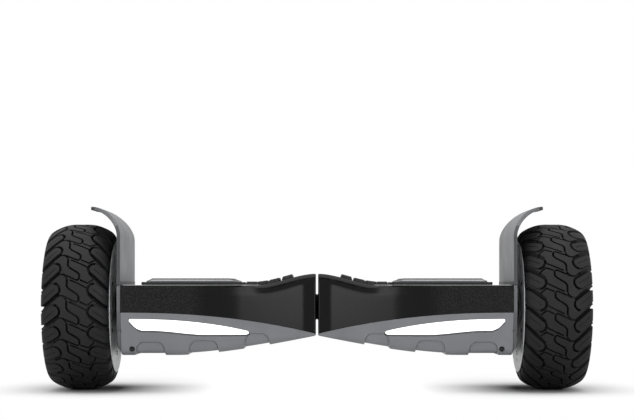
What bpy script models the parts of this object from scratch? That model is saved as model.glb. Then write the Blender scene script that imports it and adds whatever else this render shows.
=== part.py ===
# A two-wheeled self-balancing board with all-terrain wheels.
# Two footboards turn against each other on a pivot tube, and each is carried by one hub-motor wheel.
# Units are metres. +X runs along the axle line, +Y points to the back and +Z up. The origin is on the
# floor under the middle of the pivot. The +X side is modelled, then mirrored or turned for the other.

import math

import bmesh
import bpy
from mathutils import Matrix, Vector

# Clearances, and how far a cutter runs past what it cuts
FIT = 0.0003
RUNNING = 0.0004
PAD_TRAVEL = 0.0015
CUT_PAST = 0.0200

# Tyre
TYRE_RADIUS = 0.1080
TYRE_WIDTH = 0.0855
TRACK = 0.6145
CROWN_FLAT = 0.0110
SHOULDER_START = 0.0290
SHOULDER_EDGE = 0.0035
SHOULDER_DROP = 0.0100
SIDEWALL_TOP = 0.0060
SIDEWALL_DRAW = 0.0020
SIDEWALL_FOOT = 0.0110
BEAD_RADIUS = 0.0700
BEAD_INSET = 0.0078
TREAD_PITCHES = 24
GROOVE_DEPTH = 0.0052
GROOVE_WIDTH = 0.0092
GROOVE_RISE = 0.0236
HOOK_WIDTH = 0.0020
HOOK_REACH = 0.0064
HOOK_DROP = 0.0150
SIPE_WIDTH = 0.0024
SIPE_DEPTH = 0.0042
SIPE_REACH = 0.0078
SIPE_STEP = 0.0054
SIPE_RUN = 0.0076
SIPE_SHIFT = 0.0085
CENTRE_LAND = 0.0065

# Rim, hub motor and axle
RIM_WALL = 0.0060
RIM_FACE = 0.0045
RIM_RECESS = 0.0083
COVER_PROUD = 0.0014
COVER_THICKNESS = 0.0048
COVER_RADIUS = 0.0690
COVER_EDGE = 0.0015
COVER_LIP = 0.0022
COVER_BORE = 0.0120
HUB_CAP_RADIUS = 0.0180
HUB_CAP_HEIGHT = 0.0034
HUB_CAP_EDGE = 0.0016
HUB_POCKETS = 6
HUB_POCKET_IN = 0.0260
HUB_POCKET_OUT = 0.0600
HUB_POCKET_WIDTH = 0.0300
HUB_POCKET_NECK = 0.0140
HUB_POCKET_CORNER = 0.0050
HUB_POCKET_DEPTH = 0.0018
MAGNET_THICKNESS = 0.0030
AIR_GAP = 0.0009
STATOR_LENGTH = 0.0300
STATOR_BORE = 0.0300
STATOR_WEB = 0.0040
BEARING_RADIUS = 0.0160
BEARING_WIDTH = 0.0090
BEARING_ROOM = 0.0010
BEARING_BOSS = 0.0050
BEARING_SEAT = 0.0027
AXLE_RADIUS = 0.0085
AXLE_CHAMFER = 0.0010
AXLE_PAST = 0.0030
SEAL_RADIUS = 0.0215
SEAL_EDGE = 0.0025
SEAL_GAP = 0.0008

# Footboards
HALF_GAP = 0.0029
WHEEL_GAP = 0.0110
END_PLATE_THICKNESS = 0.0045
DECK_RISE = 0.0285
HUMP_RISE = 0.0148
HUMP_MAT_GAP = 0.0155
SEAM_DROP = 0.0060
SEAM_SWEEP = 0.0280
BOTTOM_DROP = 0.0606
BOTTOM_SWEEP = 0.0247
BOTTOM_FLAT_START = 0.1750
DECK_HALF_DEPTH = 0.0940
WAIST_HALF_DEPTH = 0.0640
WAIST_START = 0.0120
WAIST_END = 0.1600
DECK_EDGE = 0.0028
DECK_EDGE_BACK = 0.0022
RIM_BAND = 0.0125
RIM_BAND_BACK = 0.0075
RIM_BAND_START = 0.1650
RIM_BAND_RUN = 0.0300
INNER_CHAMFER = 0.0022
FLANK_SLOPE = 0.28
SEAM_STEP = 0.0006
BELLY_CORNER = 0.0080
DECK_WALL = 0.0042
SIDE_WALL = 0.0060
FLOOR_WALL = 0.0105
INNER_WALL = 0.0045
PLATE_SET_BACK = 0.0004
END_CORNER_IN = 0.0060
END_CORNER_UP = 0.0110

# Light lens in the flank of the lower shell, and the light strip behind it
LENS_END_INSET = 0.0107
LENS_LENGTH = 0.1510
LENS_DROP = 0.0071
LENS_TAPER = 0.0058
LENS_BASE_DROP = 0.0345
LENS_BASE_RISE = 0.0051
LENS_RISE_INSET = 0.0270
LENS_RISE_RUN = 0.0700
LENS_CORNER = 0.0020
LENS_SLANT = 0.0082
LENS_HEEL_RUN = 0.0089
LENS_HEEL_RISE = 0.0034
LENS_TIP = 0.0030
LENS_THICKNESS = 0.0035
LENS_POCKET = 0.0070
STRIP_THICKNESS = 0.0020
STRIP_MARGIN = 0.0038
STRIP_INSET = 0.0250

# Flutes in the belly of the lower shell, counted from the wheel
FLUTE_INSET = 0.0369
FLUTE_PITCH = 0.0677
FLUTE_WIDTHS = (0.0345, 0.0350, 0.0290)
FLUTE_HEIGHT = 0.0165
FLUTE_CORNER = 0.0090
FLUTE_DEPTH = 0.0025

# Fender
FENDER_WALL = 0.0045
FENDER_RISE = 0.0400
FENDER_REACH = 0.0445
FENDER_TYRE_GAP = 0.0180
FENDER_CROWN = 0.0105
FENDER_FOOT = 0.0005
FENDER_FOOT_HEIGHT = 0.0045
FENDER_FOOT_INSET = 0.0012

# Mat, pad and grips on the deck
MAT_INSET = 0.0252
MAT_LENGTH = 0.1280
MAT_HALF_DEPTH = 0.0840
MAT_THICKNESS = 0.0038
MAT_BORDER = 0.0060
MAT_EDGE = 0.0012
PAD_RISE = 0.0046
PAD_SKIRT = 0.0028
PAD_SLOPE_INNER = 0.0090
PAD_SLOPE_OUTER = 0.0063
PAD_SLOPE_SIDE = 0.0045
PAD_CHANNEL_WIDTH = 0.0036
PAD_CHANNEL_DEPTH = 0.0016
GRIP_THICKNESS = 0.0044
GRIP_EDGE = 0.0012
GRIP_SIDE_INSET = 0.0135
GRIP_MAT_GAP = 0.0050
GRIP_OUTER_LENGTH = 0.0425
GRIP_GAP = 0.0028
GRIP_INNER_LENGTH = 0.0140
GRIP_BLOCKS = 3
GRIP_NOTCH = 0.0020
GRIP_WEB = 0.0021

# Pivot between the halves
PIVOT_RADIUS = 0.0125
PIVOT_BORE = 0.0090
BUSH_WALL = 0.0030
BUSH_FLANGE = 0.0025
BUSH_FLANGE_RISE = 0.0030
BUSH_LENGTH = 0.0140
WASHER_RADIUS = 0.0170
PIVOT_BLOCK_LENGTH = 0.0480
PIVOT_BLOCK_HALF_DEPTH = 0.0240
PIVOT_BLOCK_HALF_HEIGHT = 0.0200
CIRCLIP_THICKNESS = 0.0015
CIRCLIP_RADIUS = 0.0155
TUBE_PAST = 0.0010

# Inside the footboards
ROOM_HALF_DEPTH = 0.0700
WIRE_WAY_START = 0.0340
WIRE_WAY_HALF_DEPTH = 0.0300
CLAMP_LENGTH = 0.0340
CLAMP_HALF_DEPTH = 0.0240
CLAMP_SLIT = 0.0020
BLOCK_EDGE = 0.0018
BATTERY_LENGTH = 0.1000
BATTERY_HALF_DEPTH = 0.0400
BATTERY_HEIGHT = 0.0400
BATTERY_EDGE = 0.0030
BOARD_LENGTH = 0.0960
BOARD_HALF_DEPTH = 0.0360
BOARD_THICKNESS = 0.0040
BOARD_PART_HALF_DEPTH = 0.0200
BOARD_PART_STARTS = (0.0140, 0.0400, 0.0740)
BOARD_PART_WIDTHS = (0.0100, 0.0180, 0.0120)
BOARD_PART_HEIGHTS = (0.0110, 0.0070, 0.0090)
GYRO_HALF_DEPTH = 0.0180
GYRO_INSET = 0.0030
GYRO_THICKNESS = 0.0030
HEADROOM = 0.0040
PACK_GAP = 0.0040

# Back of the left footboard
BUTTON_INSET = 0.0437
BUTTON_RADIUS = 0.0075
BUTTON_PROUD = 0.0010
BUTTON_LENGTH = 0.0080
SOCKET_INSET = 0.0787
SOCKET_RADIUS = 0.0090
SOCKET_BORE = 0.0065
SOCKET_DEPTH = 0.0120
SOCKET_FLOOR = 0.0025
CAP_RADIUS = 0.0115
CAP_THICKNESS = 0.0025
CAP_TONGUE_WIDTH = 0.0060
CAP_TONGUE_PAST = 0.0012
CAP_HINGE_DROP = 0.0010
CONTROL_RISE = 0.0122

# Sides of round pieces
WHEEL_SIDES = 20
PIVOT_SIDES = 16
ROUND_SIDES = 16
CONTROL_SIDES = 20

# What follows from the sizes above
AXLE_HEIGHT = TYRE_RADIUS
WHEEL_X = TRACK / 2
TYRE_HALF = TYRE_WIDTH / 2
PLATE_OUTER_X = WHEEL_X - TYRE_HALF - WHEEL_GAP
PLATE_INNER_X = PLATE_OUTER_X - END_PLATE_THICKNESS
SHELL_OUTER_X = PLATE_INNER_X - FIT
SHELL_INNER_X = HALF_GAP / 2
BLOCK_INNER_X = SHELL_INNER_X + INNER_WALL + FIT
BLOCK_OUTER_X = BLOCK_INNER_X + PIVOT_BLOCK_LENGTH
CLAMP_X = SHELL_OUTER_X - CLAMP_LENGTH
PACK_X = CLAMP_X - PACK_GAP
ROOM_X = PACK_X - BATTERY_LENGTH - PACK_GAP
DECK_Z = AXLE_HEIGHT + DECK_RISE
FLOOR_Z = AXLE_HEIGHT - BOTTOM_DROP + FLOOR_WALL
GYRO_Z = DECK_Z - DECK_WALL - HEADROOM - GYRO_THICKNESS
MAT_OUTER_X = SHELL_OUTER_X - MAT_INSET
MAT_INNER_X = MAT_OUTER_X - MAT_LENGTH
HUMP_START = MAT_INNER_X - HUMP_MAT_GAP
LENS_OUTER_X = SHELL_OUTER_X - LENS_END_INSET
LENS_INNER_X = LENS_OUTER_X - LENS_LENGTH
FENDER_STRAIGHT_Z = 2 * TYRE_RADIUS + FENDER_TYRE_GAP + FENDER_WALL - FENDER_RISE
GROOVE_INNER = SIPE_REACH + SIPE_WIDTH / 2 + CENTRE_LAND
COVER_FACE = -TYRE_HALF - COVER_PROUD
RIM_BACK = COVER_FACE + COVER_THICKNESS + FIT
RIM_FRONT = TYRE_HALF - RIM_RECESS
BUTTON_X = SHELL_OUTER_X - BUTTON_INSET
SOCKET_X = SHELL_OUTER_X - SOCKET_INSET
CONTROL_Z = AXLE_HEIGHT + CONTROL_RISE
CAP_FACE_Y = DECK_HALF_DEPTH + 2 * FIT
CAP_HINGE_Y = CAP_FACE_Y + CAP_THICKNESS / 2
CAP_HINGE_Z = CONTROL_Z - CAP_RADIUS - CAP_HINGE_DROP
PAST_DEPTH = DECK_HALF_DEPTH + CUT_PAST

# Places of the shells' sections along X: five on the hump, four on the waist, and where forms start
SECTIONS = [SHELL_INNER_X + INNER_CHAMFER]
SECTIONS += [HUMP_START * step / 5 for step in range(1, 6)]
SECTIONS += [HUMP_START + (WAIST_END - HUMP_START) * step / 4 for step in range(1, 5)]
SECTIONS += [RIM_BAND_START, BOTTOM_FLAT_START]

WHEEL_PIECES = ("tyre", "rim", "motor_cover", "hub_cap", "magnet_ring", "bearing_inner", "bearing_outer")
HALF_PIECES = ("upper_shell", "lower_shell", "fender", "end_plate", "axle_clamp", "axle", "axle_seal",
               "stator", "lens_front", "lens_back", "light_strip_front", "light_strip_back", "foot_mat",
               "grip_outer", "grip_inner", "gyro_board")
RIGHT_ONLY = ("battery_pack", "pivot_bearing_block", "bush_inner", "bush_outer")

# Colour, roughness and metallic value of each finish
FINISHES = {
    "black_shell": ((0.010, 0.010, 0.011), 0.32, 0.0),
    "grey_casting": ((0.200, 0.205, 0.215), 0.42, 0.55),
    "black_rubber": ((0.014, 0.014, 0.015), 0.72, 0.0),
    "alloy": ((0.430, 0.430, 0.440), 0.36, 0.9),
    "steel": ((0.350, 0.350, 0.360), 0.30, 1.0),
    "lens": ((0.930, 0.940, 0.950), 0.20, 0.0),
    "circuit": ((0.020, 0.120, 0.045), 0.55, 0.0),
    "battery": ((0.030, 0.080, 0.300), 0.45, 0.0),
    "copper": ((0.480, 0.180, 0.070), 0.40, 0.9),
    "magnet": ((0.160, 0.160, 0.165), 0.45, 0.8),
    "brass": ((0.520, 0.360, 0.120), 0.38, 0.9),
}

MIRROR = Matrix.Scale(-1, 4, (1, 0, 0))
HALF_TURN = Matrix.Rotation(math.pi, 4, "Z")


def clear_scene():
    for item in list(bpy.data.objects):
        bpy.data.objects.remove(item, do_unlink=True)


def make_collection(name):
    found = bpy.data.collections.new(name)
    bpy.context.scene.collection.children.link(found)
    return found


clear_scene()
PARTS = make_collection("hoverboard")
CUTTERS = make_collection("cutters")


def material(slot):
    found = bpy.data.materials.get(slot)
    if found:
        return found
    colour, roughness, metallic = FINISHES[slot]
    found = bpy.data.materials.new(slot)
    found.use_nodes = True
    shader = found.node_tree.nodes["Principled BSDF"]
    shader.inputs["Base Color"].default_value = (*colour, 1.0)
    shader.inputs["Roughness"].default_value = roughness
    shader.inputs["Metallic"].default_value = metallic
    return found


def add_object(name, mesh, slot):
    """A piece where a finish is named, and otherwise a cutter."""
    piece = bpy.data.objects.new(name, mesh)
    if slot:
        mesh.materials.append(material(slot))
        PARTS.objects.link(piece)
    else:
        CUTTERS.objects.link(piece)
        piece.hide_render = True
        piece.display_type = "WIRE"
    return piece


def from_bmesh(name, shape, slot, smooth=False):
    bmesh.ops.recalc_face_normals(shape, faces=shape.faces)
    mesh = bpy.data.meshes.new(name)
    shape.to_mesh(mesh)
    shape.free()
    if smooth:
        mesh.shade_smooth()
        mesh.set_sharp_from_angle(angle=math.radians(32))
    return add_object(name, mesh, slot)


def box(name, low, high, slot=None, edge=0.0):
    """A block between two corners, with its edges taken off."""
    shape = bmesh.new()
    bmesh.ops.create_cube(shape, size=1.0)
    bmesh.ops.scale(shape, vec=Vector(high) - Vector(low), verts=shape.verts)
    bmesh.ops.translate(shape, vec=(Vector(high) + Vector(low)) / 2, verts=shape.verts)
    piece = from_bmesh(name, shape, slot)
    if edge > 0:
        taken_off = piece.modifiers.new("edges", "BEVEL")
        taken_off.width = edge
        taken_off.segments = 1
    return piece


def rod(name, start, end, radius, slot=None, sides=24, along="X"):
    """A round bar along X or Y between two places on its axis."""
    shape = bmesh.new()
    length = (Vector(end) - Vector(start)).length
    bmesh.ops.create_cone(shape, cap_ends=True, segments=sides, radius1=radius, radius2=radius,
                          depth=length)
    turn = Matrix.Rotation(math.pi / 2, 3, "Y" if along == "X" else "X")
    bmesh.ops.rotate(shape, cent=(0, 0, 0), matrix=turn, verts=shape.verts)
    bmesh.ops.translate(shape, vec=(Vector(start) + Vector(end)) / 2, verts=shape.verts)
    return from_bmesh(name, shape, slot, True)


def turned(name, profile, slot, sides, centre, along="X", cup=False):
    """A profile of (place along the axis, radius) turned about X or Y through centre.

    It runs down its outer side. A profile that starts and ends on the axis stays open there, and a
    cup's profile meets the axis in the middle of its run.
    """
    mesh = bpy.data.meshes.new(name)
    points = [(radius, 0, place) for place, radius in profile]
    edges = [(i, i + 1) for i in range(len(points) - 1)]
    on_axis = [i for i, (place, radius) in enumerate(profile) if radius == 0]
    if on_axis != [0, len(points) - 1]:
        edges.append((len(points) - 1, 0))
    if cup:
        edges.remove((on_axis[0], on_axis[1]))
    mesh.from_pydata(points, edges, [])
    piece = add_object(name, mesh, slot)
    lathe = piece.modifiers.new("lathe", "SCREW")
    lathe.axis = "Z"
    lathe.steps = sides
    lathe.render_steps = sides
    lathe.use_merge_vertices = True
    lathe.merge_threshold = 0.00001
    lathe.use_smooth_shade = False
    piece.rotation_euler = (0, math.pi / 2, 0) if along == "X" else (-math.pi / 2, 0, 0)
    piece.location = centre
    bpy.context.view_layer.update()
    return piece


def ring(name, low, high, inner, outer, slot, sides, centre):
    """A plain ring between two places along X."""
    profile = [(high, outer), (low, outer), (low, inner), (high, inner)]
    return turned(name, profile, slot, sides, centre)


def loft(name, rings, slot=None, smooth=False):
    """A closed skin through rings of the same number of points, capped at both ends."""
    shape = bmesh.new()
    rows = [[shape.verts.new(point) for point in points] for points in rings]
    count = len(rows[0])
    for near, far in zip(rows, rows[1:]):
        for i in range(count):
            j = (i + 1) % count
            shape.faces.new((near[i], near[j], far[j], far[i]))
    shape.faces.new(rows[0])
    shape.faces.new(list(reversed(rows[-1])))
    return from_bmesh(name, shape, slot, smooth)


def prism(name, outline, low_y, high_y, slot=None):
    """An outline of (x, z) made solid between two places along Y."""
    return loft(name, [[(x, y, z) for x, z in outline] for y in (low_y, high_y)], slot)


def slab(name, outline, low_x, high_x, slot=None):
    """An outline of (y, z) made solid between two places along X."""
    return loft(name, [[(x, y, z) for y, z in outline] for x in (low_x, high_x)], slot)


def boolean(piece, tool, operation="DIFFERENCE"):
    cut = piece.modifiers.new(operation.lower(), "BOOLEAN")
    cut.operation = operation
    cut.solver = "EXACT"
    cut.object = tool


def settle(piece):
    """Applies a piece's modifiers and its place, so that it can be copied, joined or mirrored."""
    bpy.context.view_layer.update()
    seen = piece.evaluated_get(bpy.context.evaluated_depsgraph_get())
    mesh = bpy.data.meshes.new_from_object(seen)
    mesh.transform(piece.matrix_world)
    piece.modifiers.clear()
    piece.data = mesh
    piece.matrix_world = Matrix.Identity(4)
    return piece


def copy_piece(piece, name, change):
    """A copy of a settled piece with its own mesh, mirrored or turned by change."""
    mesh = piece.data.copy()
    mesh.transform(change)
    if change.determinant() < 0:
        mesh.flip_normals()
    mesh.name = name
    copy = bpy.data.objects.new(name, mesh)
    PARTS.objects.link(copy)
    return copy


def joined(name, pieces):
    """One cutter made of several that touch none of each other."""
    shape = bmesh.new()
    for piece in pieces:
        settle(piece)
        shape.from_mesh(piece.data)
        bpy.data.objects.remove(piece, do_unlink=True)
    mesh = bpy.data.meshes.new(name)
    shape.to_mesh(mesh)
    shape.free()
    return add_object(name, mesh, None)


def ease(value):
    """Runs smoothly from 0 to 1 as value does."""
    value = min(max(value, 0.0), 1.0)
    return value * value * (3 - 2 * value)


def bore_reach(radius, sides):
    """Radius that fits inside a bore made of that many flat sides."""
    return radius * math.cos(math.pi / sides)


def half_depth(x):
    """Half the footboard's depth: full at the wheel and drawn in to a waist at the pivot."""
    spread = ease((x - WAIST_START) / (WAIST_END - WAIST_START))
    return WAIST_HALF_DEPTH + (DECK_HALF_DEPTH - WAIST_HALF_DEPTH) * spread


def deck_z(x):
    """Height of the deck, which climbs to a hump over the pivot."""
    return DECK_Z + HUMP_RISE * ease(1 - x / HUMP_START)


def seam_z(x):
    """Height of the line between the upper and the lower shell, which dips to the pivot."""
    share = max(1 - x / SHELL_OUTER_X, 0.0)
    return AXLE_HEIGHT - SEAM_DROP - SEAM_SWEEP * share ** 2.3


def bottom_z(x):
    """Height of the belly, which is level under the foot and climbs to the pivot."""
    share = max(1 - x / BOTTOM_FLAT_START, 0.0)
    return AXLE_HEIGHT - BOTTOM_DROP + BOTTOM_SWEEP * share ** 1.5


def places(low, high, marks=SECTIONS):
    """Places of a loft's sections from low to high, at the marks that lie between them."""
    inside = [mark for mark in marks if low + 0.001 < mark < high - 0.001]
    return [low] + sorted(inside) + [high]


def deck_facet_z(x):
    """Height of the deck as built, which is straight between two sections."""
    marks = places(SHELL_INNER_X, SHELL_OUTER_X)
    near = max(mark for mark in marks if mark <= x)
    far = min(mark for mark in marks if mark > x)
    share = (x - near) / (far - near)
    return deck_z(near) * (1 - share) + deck_z(far) * share


def section(x, side):
    """A ring across the footboard from one side's outline of (depth, height)."""
    front = [(x, -y, z) for y, z in side]
    back = [(x, y, z) for y, z in reversed(side)]
    return front + back


def inner_chamfer(x):
    """How far a shell draws in at its end beside the pivot."""
    return INNER_CHAMFER if x <= SHELL_INNER_X + FIT else 0.0


def upper_section(x):
    """Upright sides, a rim band that leans in towards the pivot, and a level deck."""
    grown = ease((RIM_BAND_START - x) / RIM_BAND_RUN)
    band = DECK_EDGE + (RIM_BAND - DECK_EDGE) * grown
    back = DECK_EDGE_BACK + (RIM_BAND_BACK - DECK_EDGE_BACK) * grown
    depth = half_depth(x) - inner_chamfer(x)
    top = deck_z(x) - inner_chamfer(x) / 2
    return section(x, [(depth, seam_z(x)), (depth, top - band), (depth - back * 0.45, top - band * 0.35),
                       (depth - back, top)])


def upper_room(x):
    """The hollow of the upper shell, one wall inside its skin."""
    half = half_depth(x) - SIDE_WALL
    return section(x, [(half, seam_z(x) - CUT_PAST), (half, deck_z(x) - DECK_WALL)])


def upper_shell():
    along = places(SHELL_INNER_X, SHELL_OUTER_X)
    shell = loft("upper_shell_right", [upper_section(x) for x in along], "black_shell", True)
    hollow = places(SHELL_INNER_X + INNER_WALL, SHELL_OUTER_X + CUT_PAST, SECTIONS[1::2])
    boolean(shell, loft("upper_hollow", [upper_room(x) for x in hollow]))
    hole = rod("pivot_hole", (SHELL_INNER_X - CUT_PAST, 0, AXLE_HEIGHT), (BLOCK_INNER_X, 0, AXLE_HEIGHT),
               WASHER_RADIUS + RUNNING)
    boolean(shell, hole)
    return settle(shell)


def lower_section(x, inset, lift):
    """Flanks that slope in to a rounded belly, drawn in by inset, with the top raised by lift."""
    depth = half_depth(x) - SEAM_STEP - inset - inner_chamfer(x)
    seam = seam_z(x) - FIT
    low = bottom_z(x) + inset
    height = seam - low
    corner = min(BELLY_CORNER, 0.38 * height)
    foot = depth - FLANK_SLOPE * (height - corner)
    return section(x, [(depth + FLANK_SLOPE * lift, seam + lift), (foot, low + corner),
                       (foot - corner * 0.42, low + corner * 0.30), (foot - corner * 1.1, low)])


def lower_body(name, inset=0.0, slot=None):
    """The lower shell's outer form, or a cutter of that form which runs past its top and ends."""
    past = 0.0 if slot else CUT_PAST
    rings = [lower_section(x, inset, past) for x in places(SHELL_INNER_X, SHELL_OUTER_X)]
    rings[0] = [(x - past, y, z) for x, y, z in rings[0]]
    rings[-1] = [(x + past, y, z) for x, y, z in rings[-1]]
    return loft(name, rings, slot, bool(slot))


def lens_top(x):
    share = (LENS_OUTER_X - x) / LENS_LENGTH
    return seam_z(x) - LENS_DROP - LENS_TAPER * share ** 3


def lens_low(x):
    climb = ease((x - LENS_OUTER_X + LENS_RISE_INSET) / LENS_RISE_RUN + 1)
    return AXLE_HEIGHT - LENS_BASE_DROP + LENS_BASE_RISE * climb


def lens_outline(grow=0.0):
    """Front view of the lens: a long wedge with a slanted outer end and a pointed inner one."""
    thirds = [LENS_OUTER_X - LENS_LENGTH * share for share in (0.3, 0.55, 0.78)]
    tip = LENS_INNER_X + LENS_TIP
    heel = LENS_OUTER_X - LENS_SLANT
    top = [(x, lens_top(x) + grow) for x in [LENS_OUTER_X - LENS_CORNER] + thirds + [tip]]
    low = [(x, lens_low(x) - grow) for x in [tip] + thirds[::-1] + [heel - LENS_HEEL_RUN]]
    low.append((heel + grow, lens_low(heel) + LENS_HEEL_RISE - grow))
    point = (LENS_INNER_X - grow, (lens_top(tip) + lens_low(tip)) / 2)
    shoulder = (LENS_OUTER_X + grow, lens_top(LENS_OUTER_X) - LENS_CORNER)
    return [shoulder] + top + [point] + low


def strip_outline():
    """Front view of the light strip, a margin inside the lens."""
    outer = LENS_OUTER_X - STRIP_INSET
    inner = LENS_INNER_X + STRIP_INSET
    return [(outer, lens_low(outer) + STRIP_MARGIN), (outer, lens_top(outer) - STRIP_MARGIN),
            (inner, lens_top(inner) - STRIP_MARGIN), (inner, lens_low(inner) + STRIP_MARGIN)]


def flank_plate(name, outline, side, near, far, slot):
    """A plate that follows the flank of the lower shell, between two depths under its skin."""
    low, high = sorted((0, side * PAST_DEPTH))
    piece = prism(name, outline, low, high, slot)
    boolean(piece, lower_body(name + "_near", near), "INTERSECT")
    boolean(piece, lower_body(name + "_far", far))
    return settle(piece)


def flank_cut(shell, name, outline, depth):
    """Sinks an outline into both flanks of the lower shell, to one depth all over."""
    tool = prism(name, outline, -PAST_DEPTH, PAST_DEPTH)
    boolean(tool, lower_body(name + "_floor", depth))
    boolean(shell, tool)


def flute_outline(number):
    """Front view of one flute: an arch with round upper corners, open at the belly."""
    centre = SHELL_OUTER_X - FLUTE_INSET - number * FLUTE_PITCH
    half = FLUTE_WIDTHS[number] / 2
    base = bottom_z(centre) - CUT_PAST
    spring = bottom_z(centre) + FLUTE_HEIGHT - FLUTE_CORNER
    reach = half - FLUTE_CORNER
    turns = [math.radians(degrees) for degrees in (0, 45, 90)]
    right = [(reach + FLUTE_CORNER * math.cos(turn), spring + FLUTE_CORNER * math.sin(turn))
             for turn in turns]
    arch = [(half, base)] + right
    return [(centre + x, z) for x, z in arch] + [(centre - x, z) for x, z in reversed(arch)]


def end_corner(piece):
    """Takes the corner off the footboard's outer end, where it meets the belly."""
    belly = bottom_z(SHELL_OUTER_X)
    high = Vector((PLATE_OUTER_X, belly + END_CORNER_UP))
    low = Vector((PLATE_OUTER_X - END_CORNER_IN, belly))
    past = (high - low).normalized() * CUT_PAST
    outline = [low - past, ((high + past).x, (low - past).y), high + past]
    boolean(piece, prism(f"{piece.name}_corner", outline, -PAST_DEPTH, PAST_DEPTH))


def lower_shell():
    shell = lower_body("lower_shell_right", slot="grey_casting")
    room = box("lower_room", (ROOM_X, -ROOM_HALF_DEPTH, FLOOR_Z),
               (SHELL_OUTER_X + CUT_PAST, ROOM_HALF_DEPTH, DECK_Z))
    boolean(shell, room)
    wire_way = box("wire_way", (WIRE_WAY_START, -WIRE_WAY_HALF_DEPTH, bottom_z(WIRE_WAY_START) + INNER_WALL),
                   (ROOM_X + FIT, WIRE_WAY_HALF_DEPTH, DECK_Z))
    boolean(shell, wire_way)
    for number in range(len(FLUTE_WIDTHS)):
        flank_cut(shell, f"flute_{number}", flute_outline(number), FLUTE_DEPTH)
    flank_cut(shell, "lens_pocket", lens_outline(FIT), LENS_POCKET)
    end_corner(shell)
    return settle(shell)


def lights():
    """The lens and the light strip behind it, in the front and in the back flank."""
    for side_name, side in (("front", -1), ("back", 1)):
        flank_plate(f"lens_{side_name}_right", lens_outline(), side, 0.0, LENS_THICKNESS, "lens")
        back = LENS_POCKET - FIT
        flank_plate(f"light_strip_{side_name}_right", strip_outline(), side, back - STRIP_THICKNESS, back,
                    "circuit")


def fender_line(draw, steps=9):
    """The fender's line in front view, from the deck up and out over the wheel, drawn in by draw."""
    centre_x = PLATE_INNER_X + FENDER_REACH
    line = [(PLATE_INNER_X + draw, DECK_Z + FIT), (PLATE_INNER_X + draw, FENDER_STRAIGHT_Z)]
    for step in range(1, steps + 1):
        turn = math.pi / 2 * step / steps
        line.append((centre_x - (FENDER_REACH - draw) * math.cos(turn),
                     FENDER_STRAIGHT_Z + (FENDER_RISE - draw) * math.sin(turn)))
    return line


def fender_arch(steps=14):
    """The fender's outline in side view, which rounds over the tyre."""
    spring = FENDER_STRAIGHT_Z - FENDER_CROWN
    rise = FENDER_RISE + 1.25 * FENDER_CROWN
    outline = [(-DECK_HALF_DEPTH, DECK_Z - CUT_PAST), (DECK_HALF_DEPTH, DECK_Z - CUT_PAST)]
    for step in range(steps + 1):
        turn = math.pi * step / steps
        outline.append((DECK_HALF_DEPTH * math.cos(turn), spring + rise * math.sin(turn)))
    return outline


def fender():
    profile = fender_line(0.0) + fender_line(FENDER_WALL)[::-1]
    piece = prism("fender_right", profile, -DECK_HALF_DEPTH, DECK_HALF_DEPTH, "grey_casting")
    tip_x = PLATE_INNER_X + FENDER_REACH
    arch = slab("fender_arch", fender_arch(), PLATE_INNER_X - CUT_PAST, tip_x + CUT_PAST)
    boolean(piece, arch, "INTERSECT")
    half = DECK_HALF_DEPTH - FENDER_FOOT_INSET
    foot = box("fender_foot", (PLATE_INNER_X - FENDER_FOOT, -half, DECK_Z + FIT),
               (PLATE_INNER_X + FENDER_WALL / 2, half, DECK_Z + FIT + FENDER_FOOT_HEIGHT))
    boolean(piece, foot, "UNION")
    return settle(piece)


def end_plate():
    """The outer wall of the footboard, with the axle's hole in its middle."""
    low = bottom_z(SHELL_OUTER_X)
    seam = seam_z(SHELL_OUTER_X)
    depth = DECK_HALF_DEPTH - PLATE_SET_BACK
    foot = depth - FLANK_SLOPE * (seam - low)
    side = [(depth, DECK_Z), (depth, seam), (foot, low + BELLY_CORNER), (foot - BELLY_CORNER, low)]
    outline = [(-y, z) for y, z in side] + side[::-1]
    piece = slab("end_plate_right", outline, PLATE_INNER_X, PLATE_OUTER_X, "grey_casting")
    start = (PLATE_INNER_X - CUT_PAST, 0, AXLE_HEIGHT)
    hole = rod("axle_hole", start, (PLATE_OUTER_X + CUT_PAST, 0, AXLE_HEIGHT), AXLE_RADIUS + FIT)
    boolean(piece, hole)
    end_corner(piece)
    return settle(piece)


def axle_clamp():
    """The block that grips the axle, split above it, with the balance board on its top."""
    high = GYRO_Z - FIT
    piece = box("axle_clamp_right", (CLAMP_X, -CLAMP_HALF_DEPTH, FLOOR_Z + FIT),
                (SHELL_OUTER_X, CLAMP_HALF_DEPTH, high), "alloy", BLOCK_EDGE)
    start = (CLAMP_X - CUT_PAST, 0, AXLE_HEIGHT)
    hole = rod("clamp_hole", start, (SHELL_OUTER_X + CUT_PAST, 0, AXLE_HEIGHT), AXLE_RADIUS + FIT)
    boolean(piece, hole)
    slit = box("clamp_slit", (CLAMP_X - CUT_PAST, -CLAMP_SLIT / 2, AXLE_HEIGHT),
               (SHELL_OUTER_X + CUT_PAST, CLAMP_SLIT / 2, high + CUT_PAST))
    boolean(piece, slit)
    box("gyro_board_right", (CLAMP_X + GYRO_INSET, -GYRO_HALF_DEPTH, GYRO_Z),
        (SHELL_OUTER_X - GYRO_INSET, GYRO_HALF_DEPTH, GYRO_Z + GYRO_THICKNESS), "circuit")
    return settle(piece)


def foot_mat():
    """The frame of rubber round the foot pad."""
    low = DECK_Z + FIT
    mat = box("foot_mat_right", (MAT_INNER_X, -MAT_HALF_DEPTH, low),
              (MAT_OUTER_X, MAT_HALF_DEPTH, low + MAT_THICKNESS), "black_rubber", MAT_EDGE)
    window = box("mat_window", (MAT_INNER_X + MAT_BORDER, -MAT_HALF_DEPTH + MAT_BORDER, low - CUT_PAST),
                 (MAT_OUTER_X - MAT_BORDER, MAT_HALF_DEPTH - MAT_BORDER, low + CUT_PAST))
    boolean(mat, window)
    return settle(mat)


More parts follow.
